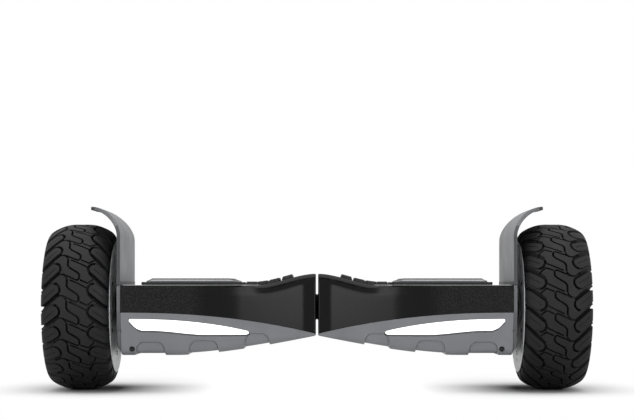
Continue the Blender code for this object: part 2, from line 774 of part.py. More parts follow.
def foot_pad():
    """The pad that goes down on its switches when it is stood on, inside the mat's frame."""
    low = DECK_Z + FIT + PAD_TRAVEL + FIT
    high = DECK_Z + FIT + MAT_THICKNESS + PAD_RISE
    inner = MAT_INNER_X + MAT_BORDER + FIT
    outer = MAT_OUTER_X - MAT_BORDER - FIT
    side = MAT_HALF_DEPTH - MAT_BORDER - FIT
    rings = []
    for z, share in ((low, 0.0), (low + PAD_SKIRT, 0.0), (high, 1.0)):
        near = inner + PAD_SLOPE_INNER * share
        far = outer - PAD_SLOPE_OUTER * share
        half = side - PAD_SLOPE_SIDE * share
        rings.append([(near, -half, z), (far, -half, z), (far, half, z), (near, half, z)])
    piece = loft("foot_pad_right", rings, "black_rubber")
    # Two channels cross the pad from corner to corner.
    length = math.hypot(outer - inner, 2 * side) / 2 + CUT_PAST
    for number, sign in enumerate((-1, 1)):
        channel = box(f"pad_channel_{number}", (-length, -PAD_CHANNEL_WIDTH / 2, high - PAD_CHANNEL_DEPTH),
                      (length, PAD_CHANNEL_WIDTH / 2, high + CUT_PAST))
        channel.rotation_euler = (0, 0, sign * math.atan2(2 * side, outer - inner))
        channel.location = ((inner + outer) / 2, 0, 0)
        bpy.context.view_layer.update()
        boolean(piece, channel)
    return settle(piece)


def grip(name, outer, length, blocks):
    """A rubber strip across the deck that follows its hump, cut into blocks."""
    inner = outer - length
    rings = []
    for x in places(inner, outer):
        half = half_depth(x) - GRIP_SIDE_INSET
        low = deck_facet_z(x) + FIT
        rings.append(section(x, [(half, low), (half - GRIP_EDGE, low + GRIP_THICKNESS)]))
    piece = loft(name, rings, "black_rubber")
    for block in range(1, blocks):
        x = inner + length * block / blocks
        floor = deck_facet_z(x) + FIT + GRIP_WEB
        boolean(piece, box(f"{name}_notch_{block}", (x - GRIP_NOTCH / 2, -PAST_DEPTH, floor),
                           (x + GRIP_NOTCH / 2, PAST_DEPTH, floor + CUT_PAST)))
    return settle(piece)


def grips():
    outer = MAT_INNER_X - GRIP_MAT_GAP
    grip("grip_outer_right", outer, GRIP_OUTER_LENGTH, GRIP_BLOCKS)
    grip("grip_inner_right", outer - GRIP_OUTER_LENGTH - GRIP_GAP, GRIP_INNER_LENGTH, 1)


def crown_radius(lateral):
    """Radius of the tread surface: level in the middle, then dropping to the shoulders."""
    run = TYRE_HALF - SHOULDER_EDGE - CROWN_FLAT
    share = max(abs(lateral) - CROWN_FLAT, 0.0) / run
    return TYRE_RADIUS - SHOULDER_DROP * min(share, 1.0) ** 1.7


def on_wheel(lateral, along, radius):
    """A place on the wheel: across from its middle, along the tread and out from the axle."""
    angle = along / TYRE_RADIUS
    return (lateral, -radius * math.cos(angle), radius * math.sin(angle))


def add_groove(shape, outline, depth):
    """Adds a cutter over an outline of (lateral, along), from the groove's floor to above the tread."""
    floor = [shape.verts.new(on_wheel(u, s, crown_radius(u) - depth)) for u, s in outline]
    roof = [shape.verts.new(on_wheel(u, s, TYRE_RADIUS + CUT_PAST)) for u, s in outline]
    count = len(outline)
    for i in range(count):
        j = (i + 1) % count
        shape.faces.new((floor[i], floor[j], roof[j], roof[i]))
    shape.faces.new(list(reversed(floor)))
    shape.faces.new(roof)


def shoulder_groove(hand, start):
    """Outline of the groove between two shoulder blocks, which climbs to the tyre's edge.

    A pointed hook runs from its inner end round the block below it.
    """
    inner = Vector((GROOVE_INNER, start))
    mouth = Vector((TYRE_HALF + SHOULDER_EDGE, start + GROOVE_RISE))
    run = (mouth - inner).normalized()
    wide = Vector((run.y, -run.x)) * GROOVE_WIDTH
    crotch = inner + run * HOOK_WIDTH + wide
    tip = inner + Vector((HOOK_REACH, -HOOK_DROP))
    return [(hand * point.x, point.y) for point in (mouth + wide, crotch, tip, inner, mouth)]


def centre_sipe(start):
    """Outline of the stepped groove in the middle of the tread: along, across and along again."""
    half = SIPE_WIDTH / 2
    left = -SIPE_REACH - half
    right = SIPE_REACH - half
    side = [(left, SIPE_STEP + SIPE_RUN), (left, SIPE_STEP - half), (right, -SIPE_STEP - half),
            (right, -SIPE_STEP - SIPE_RUN)]
    return [(u, start + s) for u, s in side] + [(-u, start - s) for u, s in side]


def tyre():
    """The tyre: one turned body with the tread's grooves sunk into it."""
    rows = [(u, crown_radius(u)) for u in (TYRE_HALF - SHOULDER_EDGE, SHOULDER_START, CROWN_FLAT)]
    wall = [(TYRE_HALF, TYRE_RADIUS - SHOULDER_DROP - SIDEWALL_TOP),
            (TYRE_HALF - SIDEWALL_DRAW, BEAD_RADIUS + SIDEWALL_FOOT),
            (TYRE_HALF - BEAD_INSET, BEAD_RADIUS)]
    outer_side = wall[::-1] + rows
    profile = outer_side + [(-u, radius) for u, radius in reversed(outer_side)]
    piece = settle(turned("tyre_right", profile, "black_rubber", TREAD_PITCHES, (0, 0, 0)))
    pitch = 2 * math.pi * TYRE_RADIUS / TREAD_PITCHES
    grooves = bmesh.new()
    for number in range(TREAD_PITCHES):
        start = number * pitch
        for hand in (-1, 1):
            add_groove(grooves, shoulder_groove(hand, start), GROOVE_DEPTH)
        add_groove(grooves, centre_sipe(start + SIPE_SHIFT), SIPE_DEPTH)
    boolean(piece, from_bmesh("tread_grooves", grooves, None))
    settle(piece)
    piece.location = (WHEEL_X, 0, AXLE_HEIGHT)
    return settle(piece)


def hub_pocket(number):
    """A shallow recess in the rim's outer face, with two round corners at its wide end."""
    angle = 2 * math.pi * number / HUB_POCKETS
    neck = HUB_POCKET_NECK / 2
    wide = HUB_POCKET_WIDTH / 2
    shoulder = HUB_POCKET_OUT - HUB_POCKET_CORNER
    side = [(HUB_POCKET_IN, neck), (shoulder, wide), (HUB_POCKET_OUT, wide - HUB_POCKET_CORNER)]
    outline = [(out, -across) for out, across in side] + side[::-1]
    turn = Matrix.Rotation(angle, 2)
    spots = [turn @ Vector(point) for point in outline]
    face = WHEEL_X + RIM_FRONT
    return slab(f"hub_pocket_{number}", [(y, AXLE_HEIGHT + z) for y, z in spots], face - HUB_POCKET_DEPTH,
                face + CUT_PAST)


def rim(barrel, inside, boss, race):
    """The rim and outer half of the motor's housing in one casting."""
    web = RIM_FRONT - RIM_FACE
    seat = RIM_FRONT - BEARING_SEAT
    stop = seat - BEARING_WIDTH - BEARING_ROOM
    piece = turned("rim_right", [
        (RIM_FRONT, 0), (RIM_FRONT, barrel), (RIM_BACK, barrel), (RIM_BACK, inside), (web, inside),
        (web, boss), (stop, boss), (stop, race), (seat, race), (seat, 0)],
        "alloy", WHEEL_SIDES, (WHEEL_X, 0, AXLE_HEIGHT))
    settle(piece)
    boolean(piece, joined("hub_pockets", [hub_pocket(number) for number in range(HUB_POCKETS)]))
    return settle(piece)


def barrel_radius():
    return bore_reach(BEAD_RADIUS, TREAD_PITCHES) - FIT


def wheel():
    """What turns with the wheel inside its tyre, from the rim to the bearings."""
    centre = (WHEEL_X, 0, AXLE_HEIGHT)
    barrel = barrel_radius()
    inside = barrel - RIM_WALL
    boss = BEARING_RADIUS + BEARING_BOSS
    race = BEARING_RADIUS + RUNNING
    rim(barrel, inside, boss, race)
    seat = COVER_FACE + COVER_LIP
    back = COVER_FACE + COVER_THICKNESS
    stop = seat + BEARING_WIDTH + BEARING_ROOM
    turned("motor_cover_right", [
        (back, COVER_RADIUS), (COVER_FACE + COVER_EDGE, COVER_RADIUS),
        (COVER_FACE, COVER_RADIUS - COVER_EDGE), (COVER_FACE, COVER_BORE), (seat, COVER_BORE),
        (seat, race), (stop, race), (stop, boss), (back, boss)],
        "alloy", WHEEL_SIDES, centre)
    cap = RIM_FRONT + FIT
    crown = cap + HUB_CAP_HEIGHT
    turned("hub_cap_right", [
        (crown, 0), (crown, HUB_CAP_RADIUS - HUB_CAP_EDGE), (crown - HUB_CAP_EDGE, HUB_CAP_RADIUS),
        (cap, HUB_CAP_RADIUS), (cap, 0)], "black_shell", WHEEL_SIDES, centre)
    magnet = inside - FIT
    half = STATOR_LENGTH / 2
    ring("magnet_ring_right", -half, half, magnet - MAGNET_THICKNESS, magnet, "magnet", WHEEL_SIDES, centre)
    bore = AXLE_RADIUS + RUNNING
    near = seat + FIT
    far = RIM_FRONT - BEARING_SEAT - FIT
    ring("bearing_inner_right", near, near + BEARING_WIDTH, bore, BEARING_RADIUS, "steel", ROUND_SIDES,
         centre)
    ring("bearing_outer_right", far - BEARING_WIDTH, far, bore, BEARING_RADIUS, "steel", ROUND_SIDES,
         centre)


def motor_core():
    """What stands still in the wheel: the stator, the axle and the seal on it."""
    magnet_bore = bore_reach(barrel_radius() - RIM_WALL - FIT - MAGNET_THICKNESS, WHEEL_SIDES)
    outer = magnet_bore - AIR_GAP
    half = STATOR_LENGTH / 2
    hub = AXLE_RADIUS + FIT
    turned("stator_right", [
        (half, outer), (-half, outer), (-half, STATOR_BORE), (-STATOR_WEB, STATOR_BORE), (-STATOR_WEB, hub),
        (STATOR_WEB, hub), (STATOR_WEB, STATOR_BORE), (half, STATOR_BORE)],
        "copper", WHEEL_SIDES, (WHEEL_X, 0, AXLE_HEIGHT))
    on_axle = (0, 0, AXLE_HEIGHT)
    start = CLAMP_X - AXLE_PAST
    end = WHEEL_X + RIM_FRONT - BEARING_SEAT - AXLE_CHAMFER
    turned("axle_right", [
        (end, 0), (end, AXLE_RADIUS - AXLE_CHAMFER), (end - AXLE_CHAMFER, AXLE_RADIUS),
        (start + AXLE_CHAMFER, AXLE_RADIUS), (start, AXLE_RADIUS - AXLE_CHAMFER), (start, 0)],
        "steel", ROUND_SIDES, on_axle)
    far = WHEEL_X + COVER_FACE - SEAL_GAP
    near = PLATE_OUTER_X + FIT
    turned("axle_seal_right", [
        (far, SEAL_RADIUS - SEAL_EDGE), (far - SEAL_EDGE, SEAL_RADIUS), (near, SEAL_RADIUS), (near, hub),
        (far, hub)], "black_rubber", PIVOT_SIDES, on_axle)


def pivot_block(name, side, bore):
    """The casting that holds the pivot tube in one half, against the shell's inner wall."""
    low, high = sorted((side * BLOCK_INNER_X, side * BLOCK_OUTER_X))
    piece = box(name, (low, -PIVOT_BLOCK_HALF_DEPTH, AXLE_HEIGHT - PIVOT_BLOCK_HALF_HEIGHT),
                (high, PIVOT_BLOCK_HALF_DEPTH, AXLE_HEIGHT + PIVOT_BLOCK_HALF_HEIGHT), "alloy", BLOCK_EDGE)
    start = (low - CUT_PAST, 0, AXLE_HEIGHT)
    hole = rod(name + "_bore", start, (high + CUT_PAST, 0, AXLE_HEIGHT), bore, None, PIVOT_SIDES)
    boolean(piece, hole)
    return settle(piece)


def pivot():
    """The tube between the halves, clamped on the left and turning in two bushes on the right."""
    centre = (0, 0, AXLE_HEIGHT)
    bush_bore = PIVOT_RADIUS + RUNNING
    bush = bush_bore + BUSH_WALL
    pivot_block("pivot_clamp", -1, PIVOT_RADIUS + FIT)
    pivot_block("pivot_bearing_block", 1, bush + FIT)
    near = BLOCK_INNER_X + FIT
    ring("bush_inner", near, near + BUSH_LENGTH, bush_bore, bush, "brass", PIVOT_SIDES, centre)
    flange = BLOCK_OUTER_X + FIT
    end = flange + BUSH_FLANGE
    turned("bush_outer", [
        (end, bush + BUSH_FLANGE_RISE), (flange, bush + BUSH_FLANGE_RISE), (flange, bush),
        (flange - BUSH_LENGTH, bush), (flange - BUSH_LENGTH, bush_bore), (end, bush_bore)],
        "brass", PIVOT_SIDES, centre)
    clip = end + FIT
    tube_end = clip + CIRCLIP_THICKNESS
    held = PIVOT_RADIUS + FIT
    ring("pivot_circlip", clip, tube_end, held, CIRCLIP_RADIUS, "steel", PIVOT_SIDES, centre)
    ring("pivot_tube", TUBE_PAST - BLOCK_OUTER_X, tube_end + TUBE_PAST, PIVOT_BORE, PIVOT_RADIUS, "steel",
         PIVOT_SIDES, centre)
    reach = BLOCK_INNER_X - FIT
    ring("thrust_washer", -reach, reach - RUNNING, held, WASHER_RADIUS, "black_rubber", PIVOT_SIDES, centre)


def battery_and_board():
    """The battery on the right and the control board on the left, each on its shell's floor."""
    floor = FLOOR_Z + FIT
    box("battery_pack", (PACK_X - BATTERY_LENGTH, -BATTERY_HALF_DEPTH, floor),
        (PACK_X, BATTERY_HALF_DEPTH, floor + BATTERY_HEIGHT), "battery", BATTERY_EDGE)
    board = box("main_board", (-PACK_X, -BOARD_HALF_DEPTH, floor),
                (-PACK_X + BOARD_LENGTH, BOARD_HALF_DEPTH, floor + BOARD_THICKNESS), "circuit")
    half = BOARD_PART_HALF_DEPTH
    for start, width, height in zip(BOARD_PART_STARTS, BOARD_PART_WIDTHS, BOARD_PART_HEIGHTS):
        near = start - PACK_X
        part = box("board_part", (near, -half, floor + BOARD_THICKNESS / 2),
                   (near + width, half, floor + BOARD_THICKNESS + height))
        boolean(board, part, "UNION")
    return settle(board)


def back_controls(shell):
    """The power button and the charging socket with its cap, in the back of the left upper shell."""
    face = DECK_HALF_DEPTH
    for name, x, radius in (("button_hole", BUTTON_X, BUTTON_RADIUS + RUNNING),
                            ("socket_hole", SOCKET_X, SOCKET_RADIUS + FIT)):
        boolean(shell, rod(name, (-x, face - CUT_PAST, CONTROL_Z), (-x, face + CUT_PAST, CONTROL_Z), radius,
                           None, CONTROL_SIDES, "Y"))
    settle(shell)
    proud = face + BUTTON_PROUD
    rod("power_button", (-BUTTON_X, proud - BUTTON_LENGTH, CONTROL_Z), (-BUTTON_X, proud, CONTROL_Z),
        BUTTON_RADIUS, "steel", CONTROL_SIDES, "Y")
    mouth = face + FIT
    floor = mouth - SOCKET_DEPTH
    back = floor - SOCKET_FLOOR
    turned("charge_socket", [
        (mouth, SOCKET_RADIUS), (back, SOCKET_RADIUS), (back, 0), (floor, 0), (floor, SOCKET_BORE),
        (mouth, SOCKET_BORE)], "steel", CONTROL_SIDES, (-SOCKET_X, 0, CONTROL_Z), "Y", True)
    start = (-SOCKET_X, CAP_FACE_Y, CONTROL_Z)
    stop = (-SOCKET_X, CAP_FACE_Y + CAP_THICKNESS, CONTROL_Z)
    cap = rod("charge_cap", start, stop, CAP_RADIUS, "black_rubber", CONTROL_SIDES, "Y")
    half = CAP_TONGUE_WIDTH / 2
    tongue = box("cap_tongue", (-SOCKET_X - half, CAP_FACE_Y, CAP_HINGE_Z - CAP_TONGUE_PAST),
                 (-SOCKET_X + half, CAP_FACE_Y + CAP_THICKNESS, CONTROL_Z - CAP_RADIUS + half))
    boolean(cap, tongue, "UNION")
    return settle(cap)


def other_side():
    """Mirrors what both halves share, and turns the wheel round for the other side."""
    for name in HALF_PIECES + ("foot_pad",):
        copy_piece(settle(bpy.data.objects[name + "_right"]), name + "_left", MIRROR)
    for name in WHEEL_PIECES:
        copy_piece(settle(bpy.data.objects[name + "_right"]), name + "_left", HALF_TURN)


def hang_on(name, place, pieces):
    """Parents moving pieces to an empty that stands on their joint's axis."""
    axis = bpy.data.objects.new(name, None)
    axis.empty_display_size = 0.03
    axis.location = place
    PARTS.objects.link(axis)
    bpy.context.view_layer.update()
    for piece in pieces:
        piece.parent = axis
        piece.matrix_parent_inverse = axis.matrix_world.inverted()
    bpy.context.view_layer.update()
    return axis


def carry():
    """Hangs the moving pieces on their axes: the left half stands still and carries the rest."""
    objects = bpy.data.objects
    moving = {}
    for side, sign in (("left", -1), ("right", 1)):
        pieces = [objects[f"{name}_{side}"] for name in WHEEL_PIECES]
        wheel_axis = hang_on(f"{side}_wheel_axis", (sign * WHEEL_X, 0, AXLE_HEIGHT), pieces)
        middle = (MAT_INNER_X + MAT_OUTER_X) / 2
        slide = hang_on(f"{side}_pad_slide", (sign * middle, 0, DECK_Z), [objects[f"foot_pad_{side}"]])
        moving[side] = [wheel_axis, slide]
    right_half = [objects[f"{name}_right"] for name in HALF_PIECES] + [objects[name] for name in RIGHT_ONLY]
    hang_on("right_half_axis", (0, 0, AXLE_HEIGHT), right_half + moving["right"])
    hang_on("button_slide", (-BUTTON_X, DECK_HALF_DEPTH, CONTROL_Z), [objects["power_button"]])
    hang_on("cap_hinge", (-SOCKET_X, CAP_HINGE_Y, CAP_HINGE_Z), [objects["charge_cap"]])


upper_shell()
lower_shell()
lights()
fender()
end_plate()
axle_clamp()
foot_mat()
foot_pad()
grips()
tyre()
wheel()
motor_core()
pivot()
battery_and_board()
other_side()
back_controls(bpy.data.objects["upper_shell_left"])
carry()
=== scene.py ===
import math

import bmesh
import bpy
from mathutils import Matrix, Vector


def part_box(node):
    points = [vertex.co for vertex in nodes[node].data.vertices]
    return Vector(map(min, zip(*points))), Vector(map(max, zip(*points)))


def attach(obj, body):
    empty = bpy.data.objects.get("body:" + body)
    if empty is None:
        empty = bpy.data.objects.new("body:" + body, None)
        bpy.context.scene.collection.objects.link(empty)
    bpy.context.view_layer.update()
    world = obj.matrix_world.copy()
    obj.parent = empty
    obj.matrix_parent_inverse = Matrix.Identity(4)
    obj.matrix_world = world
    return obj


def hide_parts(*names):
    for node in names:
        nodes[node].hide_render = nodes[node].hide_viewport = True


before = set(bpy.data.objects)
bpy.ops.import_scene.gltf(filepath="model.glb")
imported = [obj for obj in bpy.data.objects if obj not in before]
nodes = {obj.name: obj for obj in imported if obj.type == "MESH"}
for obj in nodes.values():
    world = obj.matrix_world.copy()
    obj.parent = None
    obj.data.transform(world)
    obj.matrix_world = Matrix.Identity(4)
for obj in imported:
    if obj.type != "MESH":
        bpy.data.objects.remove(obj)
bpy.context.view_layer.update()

# The camera stands 2.4 m in front of the board, level and as high as its deck, with a long lens.
# The picture is shifted up, so that the board stands low in it as in the photograph.
image_width = 634
deck_line_below_middle = 74
camera_distance = 2.4
camera_height = 0.138
camera_data = bpy.data.cameras.new("camera")
camera_data.sensor_width = 36.0
camera_data.lens = 103.6
camera_data.shift_y = deck_line_below_middle / image_width
camera = bpy.data.objects.new("camera", camera_data)
camera.location = (0, -camera_distance, camera_height)
camera.rotation_euler = (math.radians(90), 0, 0)
bpy.context.scene.collection.objects.link(camera)
bpy.context.scene.camera = camera
bpy.context.scene.view_settings.view_transform = "Standard"


def deselect():
    """Leaves nothing selected, so that an operator acts only on what comes next."""
    if bpy.context.object and bpy.context.object.mode != "OBJECT":
        bpy.ops.object.mode_set(mode="OBJECT")
    bpy.ops.object.select_all(action="DESELECT")


def calculation(tree, operation, *values):
    """A Math node, whose values are numbers or the sockets that feed it."""
    node = tree.nodes.new("ShaderNodeMath")
    node.operation = operation
    for socket, value in zip(node.inputs, values):
        if isinstance(value, (int, float)):
            socket.default_value = value
        else:
            tree.links.new(value, socket)
    return node.outputs["Value"]


def spread(tree, value, low, high, to_low=0.0, to_high=1.0):
    """A Map Range node, which takes low to high to two other values."""
    node = tree.nodes.new("ShaderNodeMapRange")
    node.inputs["From Min"].default_value = low
    node.inputs["From Max"].default_value = high
    node.inputs["To Min"].default_value = to_low
    node.inputs["To Max"].default_value = to_high
    tree.links.new(value, node.inputs["Value"])
    return node.outputs["Result"]


def background_rays(tree):
    """1 for what the camera sees, also through gloss and glass, and 0 for light on the object."""
    path = tree.nodes.new("ShaderNodeLightPath")
    glossy, through = path.outputs["Is Glossy Ray"], path.outputs["Is Transmission Ray"]
    mirrored = calculation(tree, "MAXIMUM", glossy, through)
    return calculation(tree, "MAXIMUM", path.outputs["Is Camera Ray"], mirrored)


def object_place(tree):
    """The socket that gives a point's place on its object."""
    return tree.nodes.new("ShaderNodeTexCoord").outputs["Object"]


def axes_of(tree, vector):
    """The sockets of a vector's three coordinates."""
    node = tree.nodes.new("ShaderNodeSeparateXYZ")
    tree.links.new(vector, node.inputs["Vector"])
    return node.outputs


# The floor is a white board that keeps a soft shadow under each wheel, deepened by painted shade from an
# ambient occlusion node. Away from the wheels it turns into the same plain white as the backdrop, so that no
# edge of it shows, and this glow also paints light over the board's own shadow between the wheels.
floor_half = 6.0
floor_white = 0.96
shadow_middle = 0.289
shadow_across = 0.150
shadow_along = 0.46
shadow_core = 0.20
painted_shade_reach = 0.22
painted_shade_power = 1.25
painted_shadow_tone = 0.22
deselect()
bpy.ops.mesh.primitive_plane_add(size=2 * floor_half, location=(0, 0, 0))
floor = bpy.context.object
floor.name = "floor"
floor_paint = bpy.data.materials.new("floor_paint")
floor_paint.use_nodes = True
tree = floor_paint.node_tree
tree.nodes.clear()
axes = axes_of(tree, object_place(tree))
aside = calculation(tree, "SUBTRACT", calculation(tree, "ABSOLUTE", axes["X"]), shadow_middle)
aside = calculation(tree, "DIVIDE", aside, shadow_across)
along = calculation(tree, "DIVIDE", axes["Y"], shadow_along)
away = calculation(tree, "MULTIPLY_ADD", aside, aside, calculation(tree, "MULTIPLY", along, along))
plain = spread(tree, calculation(tree, "SQRT", away), shadow_core, 1.0)
# Painted shade: an ambient occlusion node darkens the floor's colour towards each wheel's contact.
contact = tree.nodes.new("ShaderNodeAmbientOcclusion")
contact.inputs["Distance"].default_value = painted_shade_reach
shade = calculation(tree, "POWER", contact.outputs["AO"], painted_shade_power)
white = tree.nodes.new("ShaderNodeBsdfDiffuse")
tree.links.new(spread(tree, shade, 0.0, 1.0, painted_shadow_tone, floor_white), white.inputs["Color"])
glow = tree.nodes.new("ShaderNodeEmission")
mixed = tree.nodes.new("ShaderNodeMixShader")
output = tree.nodes.new("ShaderNodeOutputMaterial")
# The glow also paints light over the board's own shadow between the wheels.
tree.links.new(calculation(tree, "MULTIPLY", plain, background_rays(tree)), mixed.inputs["Fac"])
tree.links.new(white.outputs["BSDF"], mixed.inputs[1])
tree.links.new(glow.outputs["Emission"], mixed.inputs[2])
tree.links.new(mixed.outputs["Shader"], output.inputs["Surface"])
floor.data.materials.append(floor_paint)

# The world is a soft grey studio. What the camera sees of it, also in gloss, is plain white.
studio_level = 0.22
world = bpy.data.worlds.new("studio")
bpy.context.scene.world = world
world.use_nodes = True
tree = world.node_tree
tree.nodes.clear()
glow = tree.nodes.new("ShaderNodeBackground")
glow.inputs["Color"].default_value = (1, 1, 1, 1)
output = tree.nodes.new("ShaderNodeOutputWorld")
strength = spread(tree, background_rays(tree), 0.0, 1.0, studio_level, 1.0)
tree.links.new(strength, glow.inputs["Strength"])
tree.links.new(glow.outputs["Background"], output.inputs["Surface"])

# A wide lamp hangs over the board, and a tall soft one stands in front of it at each side.
board_middle = Vector((0, 0, 0.12))
lamps = (
    ("lamp_over", (0, -0.1, 2.1), (3.2, 1.8), 46.0),
    ("lamp_left", (-1.25, -1.80, 0.60), (0.85, 1.50), 20.0),
    ("lamp_right", (1.25, -1.80, 0.60), (0.85, 1.50), 20.0),
)
for name, spot, size, power in lamps:
    lamp_data = bpy.data.lights.new(name, "AREA")
    lamp_data.shape = "RECTANGLE"
    lamp_data.size, lamp_data.size_y = size
    lamp_data.energy = power
    lamp = bpy.data.objects.new(name, lamp_data)
    lamp.location = spot
    lamp.rotation_euler = (board_middle - Vector(spot)).to_track_quat("-Z", "Y").to_euler()
    bpy.context.scene.collection.objects.link(lamp)


# Tyres. Each is a hollow rubber carcass with slanted lugs on both shoulders and a solid middle cut by
# stepped grooves. The tread is modelled flat over three pitches, and its middle pitch is bent round the
# wheel and copied. The right wheel is the left one turned round, so its lugs slant the other way.
tyre_low, tyre_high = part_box("tyre_left")
left_wheel = (tyre_low + tyre_high) / 2
right_wheel = Vector((-left_wheel.x, left_wheel.y, left_wheel.z))
tread_radius = (tyre_high.z - tyre_low.z) / 2
tyre_half = (tyre_high.x - tyre_low.x) / 2
tread_pitches = 24
pitch = 2 * math.pi * tread_radius / tread_pitches
tread_start = -0.0008
carcass = 0.0075
weld = 0.000001
mm = 0.001

# Half of the section from the middle of the tread to the bead, as (across, radius).
half_section = (
    (0.0, tread_radius), (0.011, tread_radius), (0.0200, tread_radius - 0.0014),
    (0.0290, tread_radius - 0.0047), (0.0352, tread_radius - 0.0079), (0.0390, tread_radius - 0.0108),
    (0.0414, tread_radius - 0.0142), (tyre_half - 0.0002, tread_radius - 0.0190),
    (0.0419, tread_radius - 0.0245), (0.0398, tread_radius - 0.0300), (0.0372, tread_radius - 0.0345),
    (0.0349, tread_radius - 0.0380))
section_line = [Vector((-across, radius)) for across, radius in reversed(half_section[1:])]
section_line += [Vector(point) for point in half_section]
runs = [(far - near).length for near, far in zip(section_line, section_line[1:])]
half_run = sum(runs) / 2


def on_section(across):
    """The place on the tyre's section that far along it from the middle, and the way out from it."""
    left = across + half_run
    for i, run in enumerate(runs):
        if left <= run or i == len(runs) - 1:
            break
        left -= run
    before = section_line[max(i - 1, 0)]
    near, far = section_line[i], section_line[i + 1]
    after = section_line[min(i + 2, len(section_line) - 1)]
    share = left / run
    start = ((far - near).normalized() + (near - before).normalized()) / 2
    end = ((far - near).normalized() + (after - far).normalized()) / 2
    # A cubic between the two points leaves each along the mean of its neighbours' directions.
    spot = near * (2 * share ** 3 - 3 * share ** 2 + 1) + far * (3 * share ** 2 - 2 * share ** 3)
    spot += (start * (share ** 3 - 2 * share ** 2 + share) + end * (share ** 3 - share ** 2)) * run
    along = start.lerp(end, share).normalized()
    return spot, Vector((-along.y, along.x))


def rails(line, width):
    """The two sides of a groove of even width along a line of (across, along) in millimetres."""
    points = [Vector(point) for point in line]
    sides = ([], [])
    for i, point in enumerate(points):
        into = (point - points[max(i - 1, 0)] if i else points[1] - point).normalized()
        out = (points[min(i + 1, len(points) - 1)] - point if i < len(points) - 1 else into).normalized()
        mean = (into + out).normalized()
        across = Vector((-mean.y, mean.x)) * (width / 2 / max(mean.dot(into), 0.5))
        sides[0].append(point + across)
        sides[1].append(point - across)
    return sides


def sink(shape, side_a, depths_a, side_b, depths_b, shift):
    """Adds a cutter between two rails in millimetres, with its floor at their depths."""
    above = 4.0
    rings = []
    for a, deep_a, b, deep_b in zip(side_a, depths_a, side_b, depths_b):
        corners = ((a[0], a[1], -deep_a), (b[0], b[1], -deep_b), (b[0], b[1], above), (a[0], a[1], above))
        rings.append([shape.verts.new((u * mm, s * mm + shift, h * mm)) for u, s, h in corners])
    for near, far in zip(rings, rings[1:]):
        for i in range(4):
            j = (i + 1) % 4
            shape.faces.new((near[i], near[j], far[j], far[i]))
    shape.faces.new(rings[0])
    shape.faces.new(rings[-1][::-1])


# Lines of the tread in millimetres (across, along), for the front of the left wheel. A lug's lower and
# upper walls have a ditch beside them, whose floor rises away from the lug.
lug_low = ((-17.8, -6.4), (-24.0, -11.1), (-38.0, -21.6), (-46.0, -25.2), (-54.0, -26.0), (-62.0, -26.2))
ditch_low = ((-16.4, -10.8), (-22.0, -16.8), (-35.0, -27.2), (-45.0, -32.0), (-54.0, -32.6), (-62.0, -32.0))
low_deep = (5.4, 6.0, 6.2, 5.6, 3.6, 0.3)
low_shallow = (2.2, 1.6, 1.4, 1.6, 1.2, 0.2)
lug_high = ((-24.6, 3.4), (-29.9, 1.9), (-36.0, -2.8), (-45.0, -7.6), (-54.0, -8.6), (-62.0, -8.8))
ditch_high = ((-23.6, 6.2), (-28.8, 5.8), (-34.0, 1.6), (-44.0, -3.6), (-54.0, -5.0), (-62.0, -5.6))
high_deep = (2.2, 1.6, 1.3, 1.2, 1.0, 0.3)
high_shallow = (1.8, 1.0, 0.7, 0.5, 0.4, 0.2)
hook = ((-17.4, -8.0), (-16.7, -3.4), (-18.4, 0.8), (-21.4, 3.6), (-25.2, 4.4))
lug_sipe = ((-39.5, -15.0), (-23.5, -3.0))
right_shift = 1.6
step_groove = ((-7.8, 9.6), (-7.8, 0.6), (-5.6, -3.0), (4.8, -9.8), (7.5, -12.8), (7.5, -19.0))
return_groove = ((7.5, -18.4), (4.6, -20.4), (-13.0, -12.2), (-18.2, -12.4), (-27.4, -19.6))
link_groove = ((-7.8, -18.2), (-10.2, -14.8), (-13.4, -12.2))
cross_groove = ((-4.2, 8.4), (8.0, 2.6), (16.6, -1.8), (18.4, -5.0))
vee_groove = ((8.6, 8.4), (18.4, 4.2), (29.0, 12.6))
# Each groove as its line, width and depth
shoulder_grooves = ((hook, 3.4, 6.0), (lug_sipe, 0.9, 1.2))
middle_grooves = ((step_groove, 2.7, 5.8), (return_groove, 2.4, 5.2), (link_groove, 2.3, 5.2),
                  (cross_groove, 2.2, 4.8), (vee_groove, 2.3, 5.0))


def even_groove(shape, line, width, depth, shift):
    near, far = rails(line, width)
    sink(shape, near, [depth] * len(line), far, [depth] * len(line), shift)


def tread_cutter():
    """All grooves of five pitches in one mesh."""
    shape = bmesh.new()
    for number in range(-1, 4):
        shift = (number + 0.5) * pitch + tread_start
        for hand, aside in ((1, 0), (-1, right_shift)):
            def placed(line):
                return [(hand * (u - aside), s) for u, s in line]
            sink(shape, placed(lug_low), low_deep, placed(ditch_low), low_shallow, shift)
            sink(shape, placed(lug_high), high_deep, placed(ditch_high), high_shallow, shift)
            for line, width, depth in shoulder_grooves:
                even_groove(shape, placed(line), width, depth, shift)
        for line, width, depth in middle_grooves:
            even_groove(shape, line, width, depth, shift)
    bmesh.ops.recalc_face_normals(shape, faces=shape.faces)
    mesh = bpy.data.meshes.new("tread_cutter")
    shape.to_mesh(mesh)
    shape.free()
    made = bpy.data.objects.new("tread_cutter", mesh)
    bpy.context.scene.collection.objects.link(made)
    return made


def pick(piece):
    """Selects one piece alone."""
    deselect()
    bpy.context.view_layer.objects.active = piece
    piece.select_set(True)


def edit_all(piece):
    """Opens a piece in edit mode with all of it selected."""
    pick(piece)
    bpy.ops.object.mode_set(mode="EDIT")
    bpy.ops.mesh.select_all(action="SELECT")


def smooth(piece, angle):
    """Shades a piece smooth, apart from edges sharper than an angle in degrees."""
    pick(piece)
    bpy.ops.object.shade_smooth_by_angle(angle=math.radians(angle))


def apply(piece, kind, **values):
    """Adds a modifier with its values and applies it."""
    pick(piece)
    added = piece.modifiers.new(kind.lower(), kind)
    for label, value in values.items():
        setattr(added, label, value)
    bpy.ops.object.modifier_apply(modifier=added.name)


